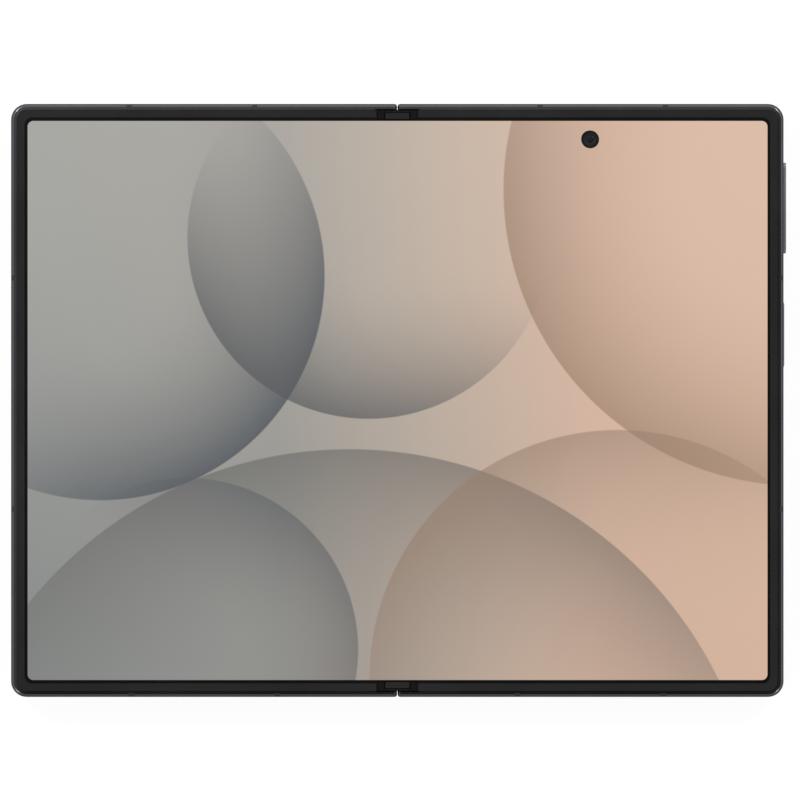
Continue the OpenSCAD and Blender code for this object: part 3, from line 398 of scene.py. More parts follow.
def lit_screen(name, place_from):
    """The lit inner screen. The picture is laid on by place, in millimetres; past it the screen is black."""
    material, tree, shader = new_material(name)
    if place_from == "object":
        place = object_place(tree)
        factor = 1.0 / MM
    else:
        layer = tree.nodes.new("ShaderNodeUVMap")
        layer.uv_map = "Flat"
        place = layer.outputs["UV"]
        factor = FLAT_MM
    scale = tree.nodes.new("ShaderNodeVectorMath")
    scale.operation = "MULTIPLY"
    tree.links.new(place, scale.inputs[0])
    scale.inputs[1].default_value = (factor, factor, 0.0)
    picture = group_in(tree, PICTURE, scale.outputs["Vector"])
    light = mix_colour(tree, picture.outputs["Lit"], (0.0, 0.0, 0.0, 1.0), picture.outputs["Colour"])
    tree.links.new(light, shader.inputs["Emission Color"])
    shader.inputs["Emission Strength"].default_value = 1.0
    shader.inputs["Specular IOR Level"].default_value = 0.3
    grain = group_in(
        tree, GRAIN, place, Grain_size=3.0 / (MM * factor), Dark_tone=grey(0.001), Light_tone=grey(0.003),
        Low_roughness=0.06, High_roughness=0.1,
    )
    tree.links.new(grain.outputs["Colour"], shader.inputs["Base Color"])
    tree.links.new(grain.outputs["Roughness"], shader.inputs["Roughness"])
    return material


def radial(tree, place, centre):
    """Distance from a vertical axis through centre, in millimetres."""
    arm = tree.nodes.new("ShaderNodeVectorMath")
    arm.operation = "MULTIPLY_ADD"
    tree.links.new(place, arm.inputs[0])
    arm.inputs[1].default_value = (1.0 / MM, 1.0 / MM, 0.0)
    arm.inputs[2].default_value = (-centre[0], -centre[1], 0.0)
    far = tree.nodes.new("ShaderNodeVectorMath")
    far.operation = "LENGTH"
    tree.links.new(arm.outputs["Vector"], far.inputs[0])
    return far.outputs["Value"]


def nearest(tree, place, centres):
    """Distance from the nearest of some vertical axes, in millimetres."""
    far = radial(tree, place, centres[0])
    for centre in centres[1:]:
        far = math_node(tree, "MINIMUM", far, radial(tree, place, centre))
    return far


def cover_screen_glass(name):
    """Black glass over the dark cover screen, with the small camera showing through its round window."""
    material, tree, shader = new_material(name)
    place = object_place(tree)
    parts = coordinates(tree, place)
    x = math_node(tree, "ABSOLUTE", math_node(tree, "SUBTRACT", parts["X"], COVER_SCREEN_X * MM))
    y = math_node(tree, "ABSOLUTE", parts["Y"])
    past_x = math_node(tree, "SUBTRACT", x, COVER_SCREEN_W / 2 * MM)
    past_y = math_node(tree, "SUBTRACT", y, COVER_SCREEN_H / 2 * MM)
    edge = math_node(tree, "MAXIMUM", past_x, past_y)
    border = ramp_between(tree, edge, -0.05 * MM, 0.05 * MM)
    colour = mix_colour(tree, border, (0.0065, 0.0065, 0.0075, 1.0), (0.0025, 0.0025, 0.0028, 1.0))
    far = radial(tree, place, COVER_CAMERA)
    colour = mix_colour(tree, ramp_between(tree, far, 1.88, 1.96, 1.0, 0.0), colour, (0.0012, 0.0012, 0.0013, 1.0))
    colour = mix_colour(tree, ramp_between(tree, far, 1.12, 1.2, 1.0, 0.0), colour, (0.012, 0.013, 0.016, 1.0))
    colour = mix_colour(tree, ramp_between(tree, far, 0.72, 0.8, 1.0, 0.0), colour, (0.002, 0.003, 0.012, 1.0))
    smears = noise(tree, place, 45.0, detail=4.0, roughness=0.6)
    tree.links.new(colour, shader.inputs["Base Color"])
    tree.links.new(ramp_between(tree, smears, 0.35, 0.75, 0.045, 0.12), shader.inputs["Roughness"])
    shader.inputs["Specular IOR Level"].default_value = 0.5
    shader.inputs["Coat Weight"].default_value = 0.4
    shader.inputs["Coat Roughness"].default_value = 0.03
    return material


def clear_glass(name, colour):
    """Lens cover glass, with a little dust in its tint."""
    material, tree, shader = new_material(name)
    shader.inputs["Transmission Weight"].default_value = 1.0
    shader.inputs["IOR"].default_value = 1.35
    shader.inputs["Roughness"].default_value = 0.015
    dust = ramp_between(tree, noise(tree, object_place(tree), 900.0, detail=3.0), 0.6, 0.8)
    tree.links.new(mix_colour(tree, dust, colour, grey(0.93, colour)), shader.inputs["Base Color"])
    return material


def lens_element(name, edge, middle, centres, radius, film, coat, shine):
    """A dark front element whose colour is lighter and bluer towards its middle: a painted highlight of the
    coating's reflection.
    """
    material, tree, shader = new_material(name)
    place = object_place(tree)
    far = nearest(tree, place, centres)
    # Painted highlight: the middle colour stands in for the coating's reflection
    colour = mix_colour(tree, ramp_between(tree, far, radius * 0.25, radius), middle, edge)
    tree.links.new(colour, shader.inputs["Base Color"])
    shader.inputs["Roughness"].default_value = 0.03
    shader.inputs["Specular IOR Level"].default_value = shine
    shader.inputs["Coat Weight"].default_value = coat
    shader.inputs["Coat Roughness"].default_value = 0.02
    shader.inputs["Thin Film Thickness"].default_value = film
    shader.inputs["Thin Film IOR"].default_value = 1.6
    return material


def flash_window(name):
    """Ribbed clear cover: rings round a yellow emitter."""
    material, tree, shader = new_material(name)
    place = object_place(tree)
    far = radial(tree, place, FLASH)
    rings = math_node(tree, "SINE", math_node(tree, "MULTIPLY", far, 22.0))
    colour = mix_colour(
        tree, ramp_between(tree, far, 0.75, 1.1), (0.80, 0.62, 0.10, 1.0), (0.72, 0.70, 0.62, 1.0)
    )
    colour = mix_colour(tree, ramp_between(tree, far, 1.95, 2.1), colour, (0.30, 0.30, 0.30, 1.0))
    colour = mix_colour(tree, ramp_between(tree, rings, -1.0, 1.0, 0.0, 0.18), colour, (1.0, 0.97, 0.85, 1.0))
    tree.links.new(colour, shader.inputs["Base Color"])
    tree.links.new(ramp_between(tree, rings, -1.0, 1.0, 0.08, 0.2), shader.inputs["Roughness"])
    shader.inputs["Coat Weight"].default_value = 0.8
    bump(tree, shader, rings, 0.03 * MM, 0.5)
    return material


def turned(name, dark, light, centres):
    """A lathe-cut ring: fine circular lines about each centre."""
    material, tree, shader = new_material(name)
    place = object_place(tree)
    far = nearest(tree, place, centres)
    lines = math_node(tree, "SINE", math_node(tree, "MULTIPLY", far, 90.0))
    grain = group_in(
        tree, GRAIN, place, Grain_size=0.2, Dark_tone=dark, Light_tone=light,
        Low_roughness=0.16, High_roughness=0.26,
    )
    colour = mix_colour(tree, ramp_between(tree, lines, -1.0, 1.0, 0.0, 0.25), grain.outputs["Colour"], light)
    tree.links.new(colour, shader.inputs["Base Color"])
    tree.links.new(grain.outputs["Roughness"], shader.inputs["Roughness"])
    shader.inputs["Metallic"].default_value = 1.0
    bump(tree, shader, lines, 0.002 * MM, 0.25)
    return material


def circuit_board(name):
    """Green solder mask over copper tracks."""
    material, tree, shader = new_material(name)
    place = object_place(tree)
    brick = tree.nodes.new("ShaderNodeTexBrick")
    tree.links.new(place, brick.inputs["Vector"])
    brick.inputs["Scale"].default_value = 260.0
    brick.inputs["Mortar Size"].default_value = 0.06
    brick.inputs["Color1"].default_value = (0.004, 0.045, 0.018, 1.0)
    brick.inputs["Color2"].default_value = (0.005, 0.060, 0.026, 1.0)
    brick.inputs["Mortar"].default_value = (0.020, 0.110, 0.045, 1.0)
    tree.links.new(brick.outputs["Color"], shader.inputs["Base Color"])
    shader.inputs["Roughness"].default_value = 0.35
    bump(tree, shader, brick.outputs["Fac"], 0.03 * MM, 0.4)
    return material


def striped(name, low, high, per_metre, direction, metallic, roughness):
    """Fine parallel lines: brushed plates, coil windings and flat cable tracks."""
    material, tree, shader = new_material(name)
    place = object_place(tree)
    if direction == "round":
        value = math_node(tree, "MULTIPLY", radial(tree, place, COIL), MM)
    else:
        value = coordinates(tree, place)[direction]
    wave = math_node(tree, "SINE", math_node(tree, "MULTIPLY", value, per_metre * 2.0 * math.pi))
    wobble = noise(tree, place, 500.0, detail=4.0)
    share = ramp_between(tree, math_node(tree, "ADD", wave, wobble), -0.8, 1.8)
    tree.links.new(mix_colour(tree, share, low, high), shader.inputs["Base Color"])
    tree.links.new(ramp_between(tree, wobble, 0.3, 0.7, *roughness), shader.inputs["Roughness"])
    shader.inputs["Metallic"].default_value = metallic
    bump(tree, shader, share, 0.01 * MM, 0.3)
    return material


def perforated(name):
    """Woven dust mesh behind the sound outlets."""
    material, tree, shader = new_material(name)
    place = object_place(tree)
    parts = coordinates(tree, place)
    per_metre = 2.0 * math.pi / (0.12 * MM)
    waves = [math_node(tree, "SINE", math_node(tree, "MULTIPLY", parts[a], per_metre)) for a in ("X", "Z")]
    weave = math_node(tree, "MAXIMUM", *waves)
    colour = mix_colour(tree, ramp_between(tree, weave, 0.3, 0.8), grey(0.002), (0.06, 0.06, 0.062, 1.0))
    tree.links.new(colour, shader.inputs["Base Color"])
    shader.inputs["Metallic"].default_value = 0.6
    shader.inputs["Roughness"].default_value = 0.5
    bump(tree, shader, weave, 0.02 * MM, 0.6)
    return material


def pouch_film(name):
    """Black film of a flat cell, with soft wrinkles."""
    material, tree, shader = new_material(name)
    place = object_place(tree)
    folds = noise(tree, place, 130.0, detail=3.0, roughness=0.4)
    colour = mix_colour(tree, folds, (0.012, 0.012, 0.013, 1.0), (0.03, 0.03, 0.032, 1.0))
    tree.links.new(colour, shader.inputs["Base Color"])
    tree.links.new(ramp_between(tree, folds, 0.3, 0.7, 0.3, 0.5), shader.inputs["Roughness"])
    bump(tree, shader, folds, 0.3 * MM, 0.4)
    return material


def socket_finish(name):
    """Drawn steel shell, with the black tongue that stands in its middle."""
    material, tree, shader = new_material(name)
    place = object_place(tree)
    parts = coordinates(tree, place)
    x = math_node(tree, "ABSOLUTE", math_node(tree, "SUBTRACT", parts["X"], USB[0] * MM))
    z = math_node(tree, "ABSOLUTE", math_node(tree, "SUBTRACT", parts["Z"], USB[2] * MM))
    in_x = ramp_between(tree, x, 3.36 * MM, 3.4 * MM, 1.0, 0.0)
    in_z = ramp_between(tree, z, 0.36 * MM, 0.4 * MM, 1.0, 0.0)
    tongue = math_node(tree, "MULTIPLY", in_x, in_z)
    grain = group_in(
        tree, GRAIN, place, Grain_size=0.15, Dark_tone=grey(0.26), Light_tone=grey(0.36),
        Low_roughness=0.22, High_roughness=0.34,
    )
    tree.links.new(
        mix_colour(tree, tongue, grain.outputs["Colour"], (0.008, 0.008, 0.009, 1.0)), shader.inputs["Base Color"]
    )
    tree.links.new(grain.outputs["Roughness"], shader.inputs["Roughness"])
    tree.links.new(math_node(tree, "SUBTRACT", 1.0, tongue), shader.inputs["Metallic"])
    bump(tree, shader, grain.outputs["Height"], 0.003 * MM)
    return material


GRAPHITE = (1.0, 0.985, 1.09)

FINISHES = {
    "frame_metal": grained(
        "Anodised graphite", grey(0.094, GRAPHITE), grey(0.104, GRAPHITE), 0.09, (0.20, 0.24), 1.0,
        depth=0.0009, worn=grey(0.22, GRAPHITE),
    ),
    "antenna_plastic": grained(
        "Antenna plastic", grey(0.019, GRAPHITE), grey(0.025, GRAPHITE), 0.12, (0.42, 0.5), Specular_IOR_Level=0.3
    ),
    "back_glass": grained(
        "Etched back glass", grey(0.028, GRAPHITE), grey(0.036, GRAPHITE), 0.05, (0.30, 0.36), depth=0.002,
        Coat_Weight=0.12, Coat_Roughness=0.25,
    ),
    "cover_glass": cover_screen_glass("Cover screen glass"),
    "island_metal": grained("Island metal", grey(0.090, GRAPHITE), grey(0.110, GRAPHITE), 0.08, (0.34, 0.4), 1.0),
    "ring_metal": turned("Turned ring", grey(0.16, GRAPHITE), grey(0.26, GRAPHITE), LENSES),
    "lens_glass": clear_glass("Lens cover glass", (0.93, 0.94, 0.97, 1.0)),
    "flash_diffuser": flash_window("Flash window"),
    "screen": lit_screen("Lit screen", "object"),
    "bezel_plastic": bezel_finish_with_painted_shade("Bezel plastic"),
    "hinge_steel": striped("Ground steel", grey(0.34), grey(0.46), 9000.0, "Y", 1.0, (0.26, 0.36)),
    "spine_metal": grained("Spine metal", grey(0.135, GRAPHITE), grey(0.165, GRAPHITE), 0.12, (0.2, 0.26), 1.0),
    "gear_brass": grained("Gear metal", (0.48, 0.36, 0.16, 1.0), (0.58, 0.45, 0.22, 1.0), 0.1, (0.24, 0.34), 1.0),
    "cell_foil": pouch_film("Cell film"),
    "board": circuit_board("Circuit board"),
    "shield_steel": striped("Shield plate", grey(0.42), grey(0.5), 2500.0, "X", 1.0, (0.3, 0.42)),
    "copper": striped(
        "Coil winding", (0.30, 0.11, 0.05, 1.0), (0.62, 0.28, 0.14, 1.0), 2200.0, "round", 1.0, (0.25, 0.35)
    ),
    "flex": striped(
        "Flat cable", (0.16, 0.06, 0.010, 1.0), (0.36, 0.17, 0.035, 1.0), 2000.0, "Y", 0.0, (0.3, 0.42)
    ),
    "socket_steel": socket_finish("Socket steel"),
    "module_black": grained("Black housing", grey(0.006), grey(0.010), 0.12, (0.45, 0.55)),
    "seal": grained("Seal", grey(0.008), grey(0.012), 0.2, (0.7, 0.8)),
    "support_steel": striped("Stamped plate", grey(0.22), grey(0.3), 5000.0, "Y", 1.0, (0.3, 0.4)),
    "screw_steel": grained("Blackened screw", grey(0.10), grey(0.15), 0.08, (0.3, 0.4), 1.0),
    "magnet": grained("Nickel plate", grey(0.45), grey(0.55), 0.1, (0.2, 0.3), 1.0),
}
FOLD_PICTURE = lit_screen("Lit fold", "flat")
KEY_METAL = grained(
    "Key metal", (0.215, 0.215, 0.25, 1.0), (0.228, 0.228, 0.265, 1.0), 0.08, (0.48, 0.52), 1.0, depth=0.0015
)
CAMERA_BLACK = grained("Camera black", grey(0.003), grey(0.0045), 0.08, (0.4, 0.5), Specular_IOR_Level=0.2)
CAMERA_GREY = grained("Inner camera grey", grey(0.007), grey(0.009), 0.08, (0.4, 0.46), Specular_IOR_Level=0.3)
# The middle colour of each element is a painted highlight
BACK_ELEMENT = lens_element(
    "Back lens", (0.002, 0.002, 0.004, 1.0), (0.003, 0.006, 0.022, 1.0), LENSES, 2.4, 340.0, 0.2, 0.4
)
INNER_ELEMENT = lens_element(
    "Inner lens", (0.004, 0.006, 0.010, 1.0), (0.009, 0.012, 0.017, 1.0), (PUNCH,), 0.7, 0.0, 0.05, 0.3
)
DUST_MESH = perforated("Dust mesh")

for row in frame["record"]["subparts"]:
    holder = frame["nodes"][row["node"]]
    finish = FINISHES[row["material_slot"]]
    if not holder.material_slots:
        holder.data.materials.append(finish)
    for material_slot in holder.material_slots:
        material_slot.material = finish


# ---------- Shaping ----------


def piece_from(name, shape, material, smooth_angle=None):
    """A piece made from a finished bmesh, which is drawn in millimetres."""
    bmesh.ops.scale(shape, vec=(MM, MM, MM), verts=shape.verts)
    mesh = bpy.data.meshes.new(name)
    shape.to_mesh(mesh)
    shape.free()
    mesh.materials.append(material)
    piece = bpy.data.objects.new(name, mesh)
    bpy.context.scene.collection.objects.link(piece)
    if smooth_angle is not None:
        mesh.shade_smooth()
        mesh.set_sharp_from_angle(angle=math.radians(smooth_angle))
    return piece


def round_edges(shape, edges, radius, segments):
    bmesh.ops.bevel(
        shape, geom=list(edges), offset=radius, offset_type="OFFSET", segments=segments, profile=0.5,
        affect="EDGES", material=-1,
    )


def add_block(shape, low, high, bevel=0.0, segments=2):
    """A block between two corners, with rounded edges."""
    middle = Vector(low).lerp(Vector(high), 0.5)
    size = Vector(high) - Vector(low)
    matrix = Matrix.Translation(middle) @ Matrix.Diagonal((*size, 1.0))
    made = bmesh.ops.create_cube(shape, size=1.0, matrix=matrix)
    if bevel:
        round_edges(shape, {edge for vert in made["verts"] for edge in vert.link_edges}, bevel, segments)


def add_turning(shape, outline, centre):
    """A closed turning about a vertical axis through centre, from an outline of (radius, height)."""
    verts = [shape.verts.new((centre[0] + r, centre[1], z)) for r, z in outline]
    closed = outline[0][0] > 0 and outline[-1][0] > 0
    pairs = list(zip(verts, verts[1:])) + ([(verts[-1], verts[0])] if closed else [])
    edges = [shape.edges.new(pair) for pair in pairs]
    bmesh.ops.spin(
        shape, geom=verts + edges, cent=(*centre, 0.0), axis=(0.0, 0.0, 1.0), angle=2.0 * math.pi, steps=64,
        use_merge=True,
    )
    bmesh.ops.remove_doubles(shape, verts=shape.verts, dist=0.0005)


def outward(shape):
    """Turns all faces outwards."""
    bmesh.ops.recalc_face_normals(shape, faces=shape.faces)


# ---------- Middle of the inner screen ----------


def fold_screen(name, x0, x1):
    """One half of the middle of the screen, where the real screen bends. Its flat map carries the picture."""
    shape = bmesh.new()
    bmesh.ops.create_grid(shape, x_segments=28, y_segments=60, size=0.5)
    width = x1 - x0
    bmesh.ops.scale(shape, vec=(width, FOLD_SCREEN_H, 1.0), verts=shape.verts)
    bmesh.ops.translate(shape, vec=((x0 + x1) / 2, 0.0, SCREEN_Z), verts=shape.verts)
    made = bmesh.ops.extrude_face_region(shape, geom=list(shape.faces), use_keep_orig=False)
    lower = [v for v in made["geom"] if isinstance(v, bmesh.types.BMVert)]
    bmesh.ops.translate(shape, vec=(0.0, 0.0, FOLD_SCREEN_Z - SCREEN_Z), verts=lower)
    # A faint valley along the fold, as a folding screen has
    for vert in shape.verts:
        if vert.co.z > SCREEN_Z - 0.1:
            vert.co.z -= 0.05 * math.exp(-((vert.co.x / 1.6) ** 2))
    outward(shape)
    layer = shape.loops.layers.uv.new("Flat")
    for face in shape.faces:
        for loop in face.loops:
            loop[layer].uv = (loop.vert.co.x / FLAT_MM, loop.vert.co.y / FLAT_MM)
    return piece_from(name, shape, FOLD_PICTURE, smooth_angle=40)


left_fold_screen = fold_screen("left_fold_screen", -FOLD_EDGE_X, 0.0)
right_fold_screen = fold_screen("right_fold_screen", 0.0, FOLD_EDGE_X)
for piece in (left_fold_screen, right_fold_screen):
    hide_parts("screen_fold")
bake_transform(left_fold_screen)
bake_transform(right_fold_screen)


# ---------- Ribbon cables through the hinge ----------

# Distance from the fold line and height in the body, from the middle of the spine outwards
CABLE_ROUTE = (
    (0.0, 1.2), (1.6, 1.2), (2.9, 2.0), (3.6, 2.9), (3.85, 3.36), (4.45, 3.36), (4.75, 3.1), (11.8, 3.1),
)
CABLE_Y = (-19.0, 9.0)
CABLE_W, CABLE_T = 12.0, 0.08
# How far the drawn cable stays inside the solid's sides and top
CABLE_SIDE, CABLE_TOP = 0.05, 0.02


def ribbon_pair(name, side):
    """Both ribbon cables on one side of the fold, as flat strips along their route."""
    shape = bmesh.new()
    for y0 in CABLE_Y:
        verts = [shape.verts.new((side * x, y0 + CABLE_SIDE, BACK_Z + z - CABLE_TOP)) for x, z in CABLE_ROUTE]
        edges = [shape.edges.new(pair) for pair in zip(verts, verts[1:])]
        made = bmesh.ops.extrude_edge_only(shape, edges=edges)
        over = [v for v in made["geom"] if isinstance(v, bmesh.types.BMVert)]
        bmesh.ops.translate(shape, vec=(0.0, CABLE_W - 2 * CABLE_SIDE, 0.0), verts=over)
    along = [e for e in shape.edges if abs(e.verts[0].co.x - e.verts[1].co.x) > 0.01]
    bmesh.ops.subdivide_edges(shape, edges=along, cuts=3, use_grid_fill=True)
    made = bmesh.ops.extrude_face_region(shape, geom=list(shape.faces))
    lower = [v for v in made["geom"] if isinstance(v, bmesh.types.BMVert)]
    bmesh.ops.translate(shape, vec=(0.0, 0.0, -CABLE_T), verts=lower)
    outward(shape)
    piece = piece_from(name, shape, FINISHES["flex"], smooth_angle=50)
    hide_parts("fold_cables")
    return piece


left_ribbons = ribbon_pair("left_ribbon_cables", -1)
right_ribbons = ribbon_pair("right_ribbon_cables", 1)
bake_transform(left_ribbons)
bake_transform(right_ribbons)


# ---------- Side keys ----------

KEY_W = 1.88
KEY_END_R, KEY_CROWN_R = 0.939, 0.17
# Depths from the side of the body
KEY_BACK_IN, FLANGE_IN, PLUNGER_IN = 1.7, 2.0, 2.03
FLANGE_LOW, FLANGE_HIGH = -1.15, 0.85
PLUNGER_HALF = 0.75


def side_key(name, node, y, length, out, flange_l, plungers):
    """A key with round ends and a crowned face, with the flange and plungers behind it."""
    shape = bmesh.new()
    back, front = SIDE_X - KEY_BACK_IN, SIDE_X + out
    middle = Matrix.Translation(((back + front) / 2, y, KEY_Z))
    made = bmesh.ops.create_cube(
        shape, size=1.0, matrix=middle @ Matrix.Diagonal((front - back, length, KEY_W, 1.0))
    )
    edges = {edge for vert in made["verts"] for edge in vert.link_edges}
    round_edges(shape, [e for e in edges if abs(e.verts[0].co.x - e.verts[1].co.x) > 0.1], KEY_END_R, 10)
    face = max(shape.faces, key=lambda f: f.calc_center_median().x)
    round_edges(shape, face.edges, KEY_CROWN_R, 4)
    add_block(
        shape, (SIDE_X - FLANGE_IN, y - flange_l / 2, KEY_Z + FLANGE_LOW),
        (back + 0.01, y + flange_l / 2, KEY_Z + FLANGE_HIGH), 0.05,
    )
    for dy in plungers:
        add_block(
            shape, (SIDE_X - PLUNGER_IN, y + dy - PLUNGER_HALF, KEY_Z - PLUNGER_HALF),
            (back + 0.01, y + dy + PLUNGER_HALF, KEY_Z + PLUNGER_HALF), 0.05,
        )
    outward(shape)
    piece = piece_from(name, shape, KEY_METAL, smooth_angle=35)
    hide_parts(node)
    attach(piece, node)
    return piece


side_key("volume_key_bar", "volume_key", 40.26, 18.96, 0.6, 2.8, (-6.5, 6.5))
side_key("power_key_bar", "power_key", 13.74, 13.5, 0.22, 11.5, ())


# ---------- Cameras ----------

barrels = bmesh.new()
for lens in LENSES:
    add_turning(
        barrels,
        (
            (4.95, 0.75), (4.62, 0.75), (4.5, 0.84), (4.42, 1.02), (3.95, 1.04), (3.86, 1.08), (3.42, 1.42),
            (3.02, 1.46), (2.92, 1.52), (2.62, 1.94), (2.5, 1.98), (0.0, 1.98), (0.0, 3.35), (4.95, 3.35),
        ),
        lens,
    )
    add_block(barrels, (lens[0] - 5.5, lens[1] - 5.5, 3.3), (lens[0] + 5.5, lens[1] + 5.5, 5.5), 0.15)
outward(barrels)
barrels = piece_from("camera_barrels", barrels, CAMERA_BLACK, smooth_angle=25)
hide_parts("camera_modules")
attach(barrels, "right_half")


def dome_outline(radius, rim_z, crown_z, steps=10):
    """Outline of a front element: a crown from its axis to its rim, and a flat back."""
    angles = [math.pi / 2 * i / steps for i in range(steps + 1)]
    points = [(radius * math.sin(a), rim_z - (rim_z - crown_z) * math.cos(a)) for a in angles]
    points[0] = (0.0, points[0][1])
    return points + [(0.0, rim_z)]


elements = bmesh.new()
for lens in LENSES:
    add_turning(elements, dome_outline(2.44, 1.97, 1.35), lens)
outward(elements)
elements = piece_from("camera_front_elements", elements, BACK_ELEMENT, smooth_angle=60)
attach(elements, "right_half")

housing = bmesh.new()
add_turning(
    housing,
    (
        (0.0, 4.75), (2.8, 4.75), (2.8, 6.05), (1.8, 6.05), (1.8, 6.84), (1.74, 6.9), (1.56, 6.9), (1.52, 6.86),
        (1.5, 6.8), (0.0, 6.8),
    ),
    PUNCH,
)
outward(housing)
housing = piece_from("inner_camera_ring", housing, CAMERA_BLACK, smooth_angle=30)
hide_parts("inner_camera")
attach(housing, "right_half")

stop = bmesh.new()
add_turning(stop, ((1.49, 6.801), (1.49, 6.84), (0.86, 6.84), (0.8, 6.82), (0.78, 6.801)), PUNCH)
outward(stop)
stop = piece_from("inner_camera_stop", stop, CAMERA_GREY, smooth_angle=30)
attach(stop, "right_half")

front = bmesh.new()
# The outline has its crown at the bottom, so it is turned over about the height where it was drawn
front_turn_z = 6.82
add_turning(front, tuple((r, 2 * front_turn_z - z) for r, z in dome_outline(0.76, 6.835, 6.735)), PUNCH)
outward(front)
front = piece_from("inner_camera_element", front, INNER_ELEMENT, smooth_angle=60)
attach(front, "right_half")


# ---------- Socket contacts and sound outlets ----------

CONTACTS, CONTACT_PITCH = 12, 0.5
contacts = bmesh.new()
for side in (-1, 1):
    for place in range(CONTACTS):
        x = USB[0] + (place - (CONTACTS - 1) / 2) * CONTACT_PITCH
        z = USB[2] + side * 0.355
        add_block(contacts, (x - 0.12, -60.2, z - 0.02), (x + 0.12, -56.4, z + 0.02), 0.01, 1)
outward(contacts)
contacts = piece_from("socket_contacts", contacts, FINISHES["gear_brass"])
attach(contacts, "right_half")


def dust_meshes(name, places, y, body):
    """Small round pieces of dust mesh, set back inside the sound outlets."""
    shape = bmesh.new()
    for x in places:
        turn = Matrix.Translation((x, y, OUTLET_Z)) @ Matrix.Rotation(math.radians(90), 4, "X")
        bmesh.ops.create_cone(
            shape, cap_ends=True, segments=32, radius1=MESH_R, radius2=MESH_R, depth=MESH_T, matrix=turn
        )
    outward(shape)
    piece = piece_from(name, shape, DUST_MESH, smooth_angle=30)
    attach(piece, body)


dust_meshes("bottom_dust_meshes", BOTTOM_OUTLETS, -END_Y + 0.7, "right_half")
dust_meshes("top_dust_meshes", TOP_OUTLETS, END_Y - 0.7, "left_half")


# ---------- Floor, light and camera ----------


def floor_surface(tree, share):
    """White to the camera less a soft shadow, evenly bright to the object, and clear when seen from below."""
    path = tree.nodes.new("ShaderNodeLightPath")
    seen = math_node(tree, "ADD", path.outputs["Is Camera Ray"], path.outputs["Is Transmission Ray"], clamp=True)
    white = tree.nodes.new("ShaderNodeEmission")
    white.inputs["Strength"].default_value = 1.01 - share
    shadowed = tree.nodes.new("ShaderNodeBsdfDiffuse")
    speckle = mix_colour(tree, noise(tree, object_place(tree), 40.0), grey(share * 1.08), grey(share * 1.16))
    tree.links.new(speckle, shadowed.inputs["Color"])
    total = tree.nodes.new("ShaderNodeAddShader")
    tree.links.new(white.outputs[0], total.inputs[0])
    tree.links.new(shadowed.outputs[0], total.inputs[1])
    glow = tree.nodes.new("ShaderNodeEmission")
    tree.links.new(
        math_node(tree, "SUBTRACT", 0.55, math_node(tree, "MULTIPLY", path.outputs["Is Glossy Ray"], 0.23)),
        glow.inputs["Strength"],
    )
    upper = tree.nodes.new("ShaderNodeMixShader")
    tree.links.new(seen, upper.inputs[0])
    tree.links.new(glow.outputs[0], upper.inputs[1])
    tree.links.new(total.outputs[0], upper.inputs[2])
    side = tree.nodes.new("ShaderNodeMixShader")
    tree.links.new(tree.nodes.new("ShaderNodeNewGeometry").outputs["Backfacing"], side.inputs[0])
    tree.links.new(upper.outputs[0], side.inputs[1])
    tree.links.new(tree.nodes.new("ShaderNodeBsdfTransparent").outputs[0], side.inputs[2])
    return side.outputs[0]


floor_shape = bmesh.new()
bmesh.ops.create_circle(floor_shape, cap_ends=True, segments=96, radius=4000.0)
floor_material, floor_tree, floor_shader = new_material("Pale floor")
floor_tree.nodes.remove(floor_shader)
floor_tree.links.new(floor_surface(floor_tree, 0.09), floor_tree.nodes["Material Output"].inputs["Surface"])
floor = piece_from("floor", floor_shape, floor_material)

world = bpy.data.worlds.new("Soft studio")
bpy.context.scene.world = world
world.use_nodes = True
sky = world.node_tree
sky.nodes.clear()
direction = coordinates(sky, sky.nodes.new("ShaderNodeTexCoord").outputs["Generated"])


def leaning(level, to_back, to_right):
    """A light level that changes with the direction it comes from."""
    lean = math_node(sky, "MULTIPLY_ADD", direction["Y"], to_back)
    lean.node.inputs[2].default_value = level
    return math_node(sky, "ADD", lean, math_node(sky, "MULTIPLY", direction["X"], to_right))


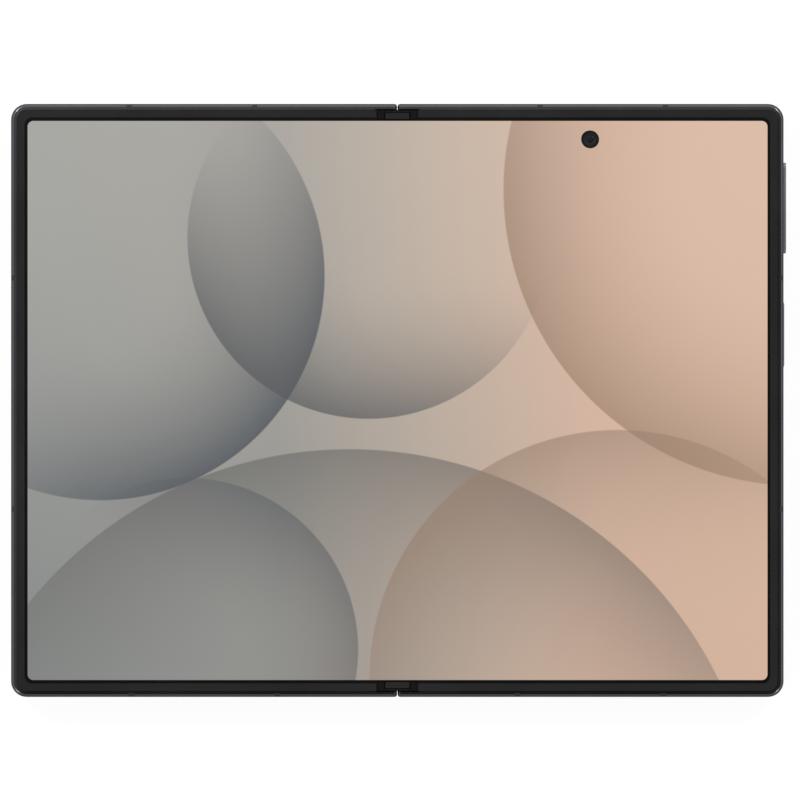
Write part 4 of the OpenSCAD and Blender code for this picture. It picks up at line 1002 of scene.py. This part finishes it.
overhead = math_node(sky, "MAXIMUM", leaning(0.29, 0.7, -0.4), 0.04)
around = leaning(1.34, 0.5, 0.0)
share = ramp_between(sky, direction["Z"], 0.45, 0.93)
overhead = math_node(sky, "MULTIPLY", overhead, share)
around = math_node(sky, "MULTIPLY", around, math_node(sky, "SUBTRACT", 1.0, share))
level = math_node(sky, "ADD", overhead, around)
light = sky.nodes.new("ShaderNodeBackground")
sky.links.new(level, light.inputs["Strength"])
backdrop = sky.nodes.new("ShaderNodeBackground")
backdrop.inputs["Strength"].default_value = 1.0
backdrop.inputs["Color"].default_value = (1.0, 1.0, 1.0, 1.0)
choice = sky.nodes.new("ShaderNodeMixShader")
path = sky.nodes.new("ShaderNodeLightPath")
sky.links.new(path.outputs["Is Camera Ray"], choice.inputs[0])
sky.links.new(light.outputs[0], choice.inputs[1])
sky.links.new(backdrop.outputs[0], choice.inputs[2])
sky.links.new(choice.outputs[0], sky.nodes.new("ShaderNodeOutputWorld").inputs["Surface"])


def softbox(name, place, power):
    """A small square light that faces the object from a place in metres."""
    data = bpy.data.lights.new(name, "AREA")
    data.shape = "SQUARE"
    data.size = 0.24
    data.energy = power
    lamp = bpy.data.objects.new(name, data)
    lamp.location = place
    lamp.rotation_mode = "QUATERNION"
    lamp.rotation_quaternion = (-Vector(place)).to_track_quat("-Z", "Y")
    bpy.context.scene.collection.objects.link(lamp)


softbox("softbox_back_left", (-0.8, 0.8, 0.9), 5.2)
softbox("softbox_back_right", (0.8, 0.8, 0.9), 4.4)
softbox("softbox_front_left", (-0.8, -0.8, 0.9), 3.0)
softbox("softbox_front_right", (0.8, -0.8, 0.9), 2.4)

camera_data = bpy.data.cameras.new("camera")
camera_data.lens = 200.0
camera_data.sensor_width = 36.0
camera_data.clip_start, camera_data.clip_end = 0.05, 20.0
camera = bpy.data.objects.new("camera", camera_data)
camera.location = (0.00056, 0.0001, 0.9349)
camera.rotation_euler = (0.0, 0.0, 0.0)
bpy.context.scene.collection.objects.link(camera)
bpy.context.scene.camera = camera

bpy.context.scene.view_settings.view_transform = "Standard"
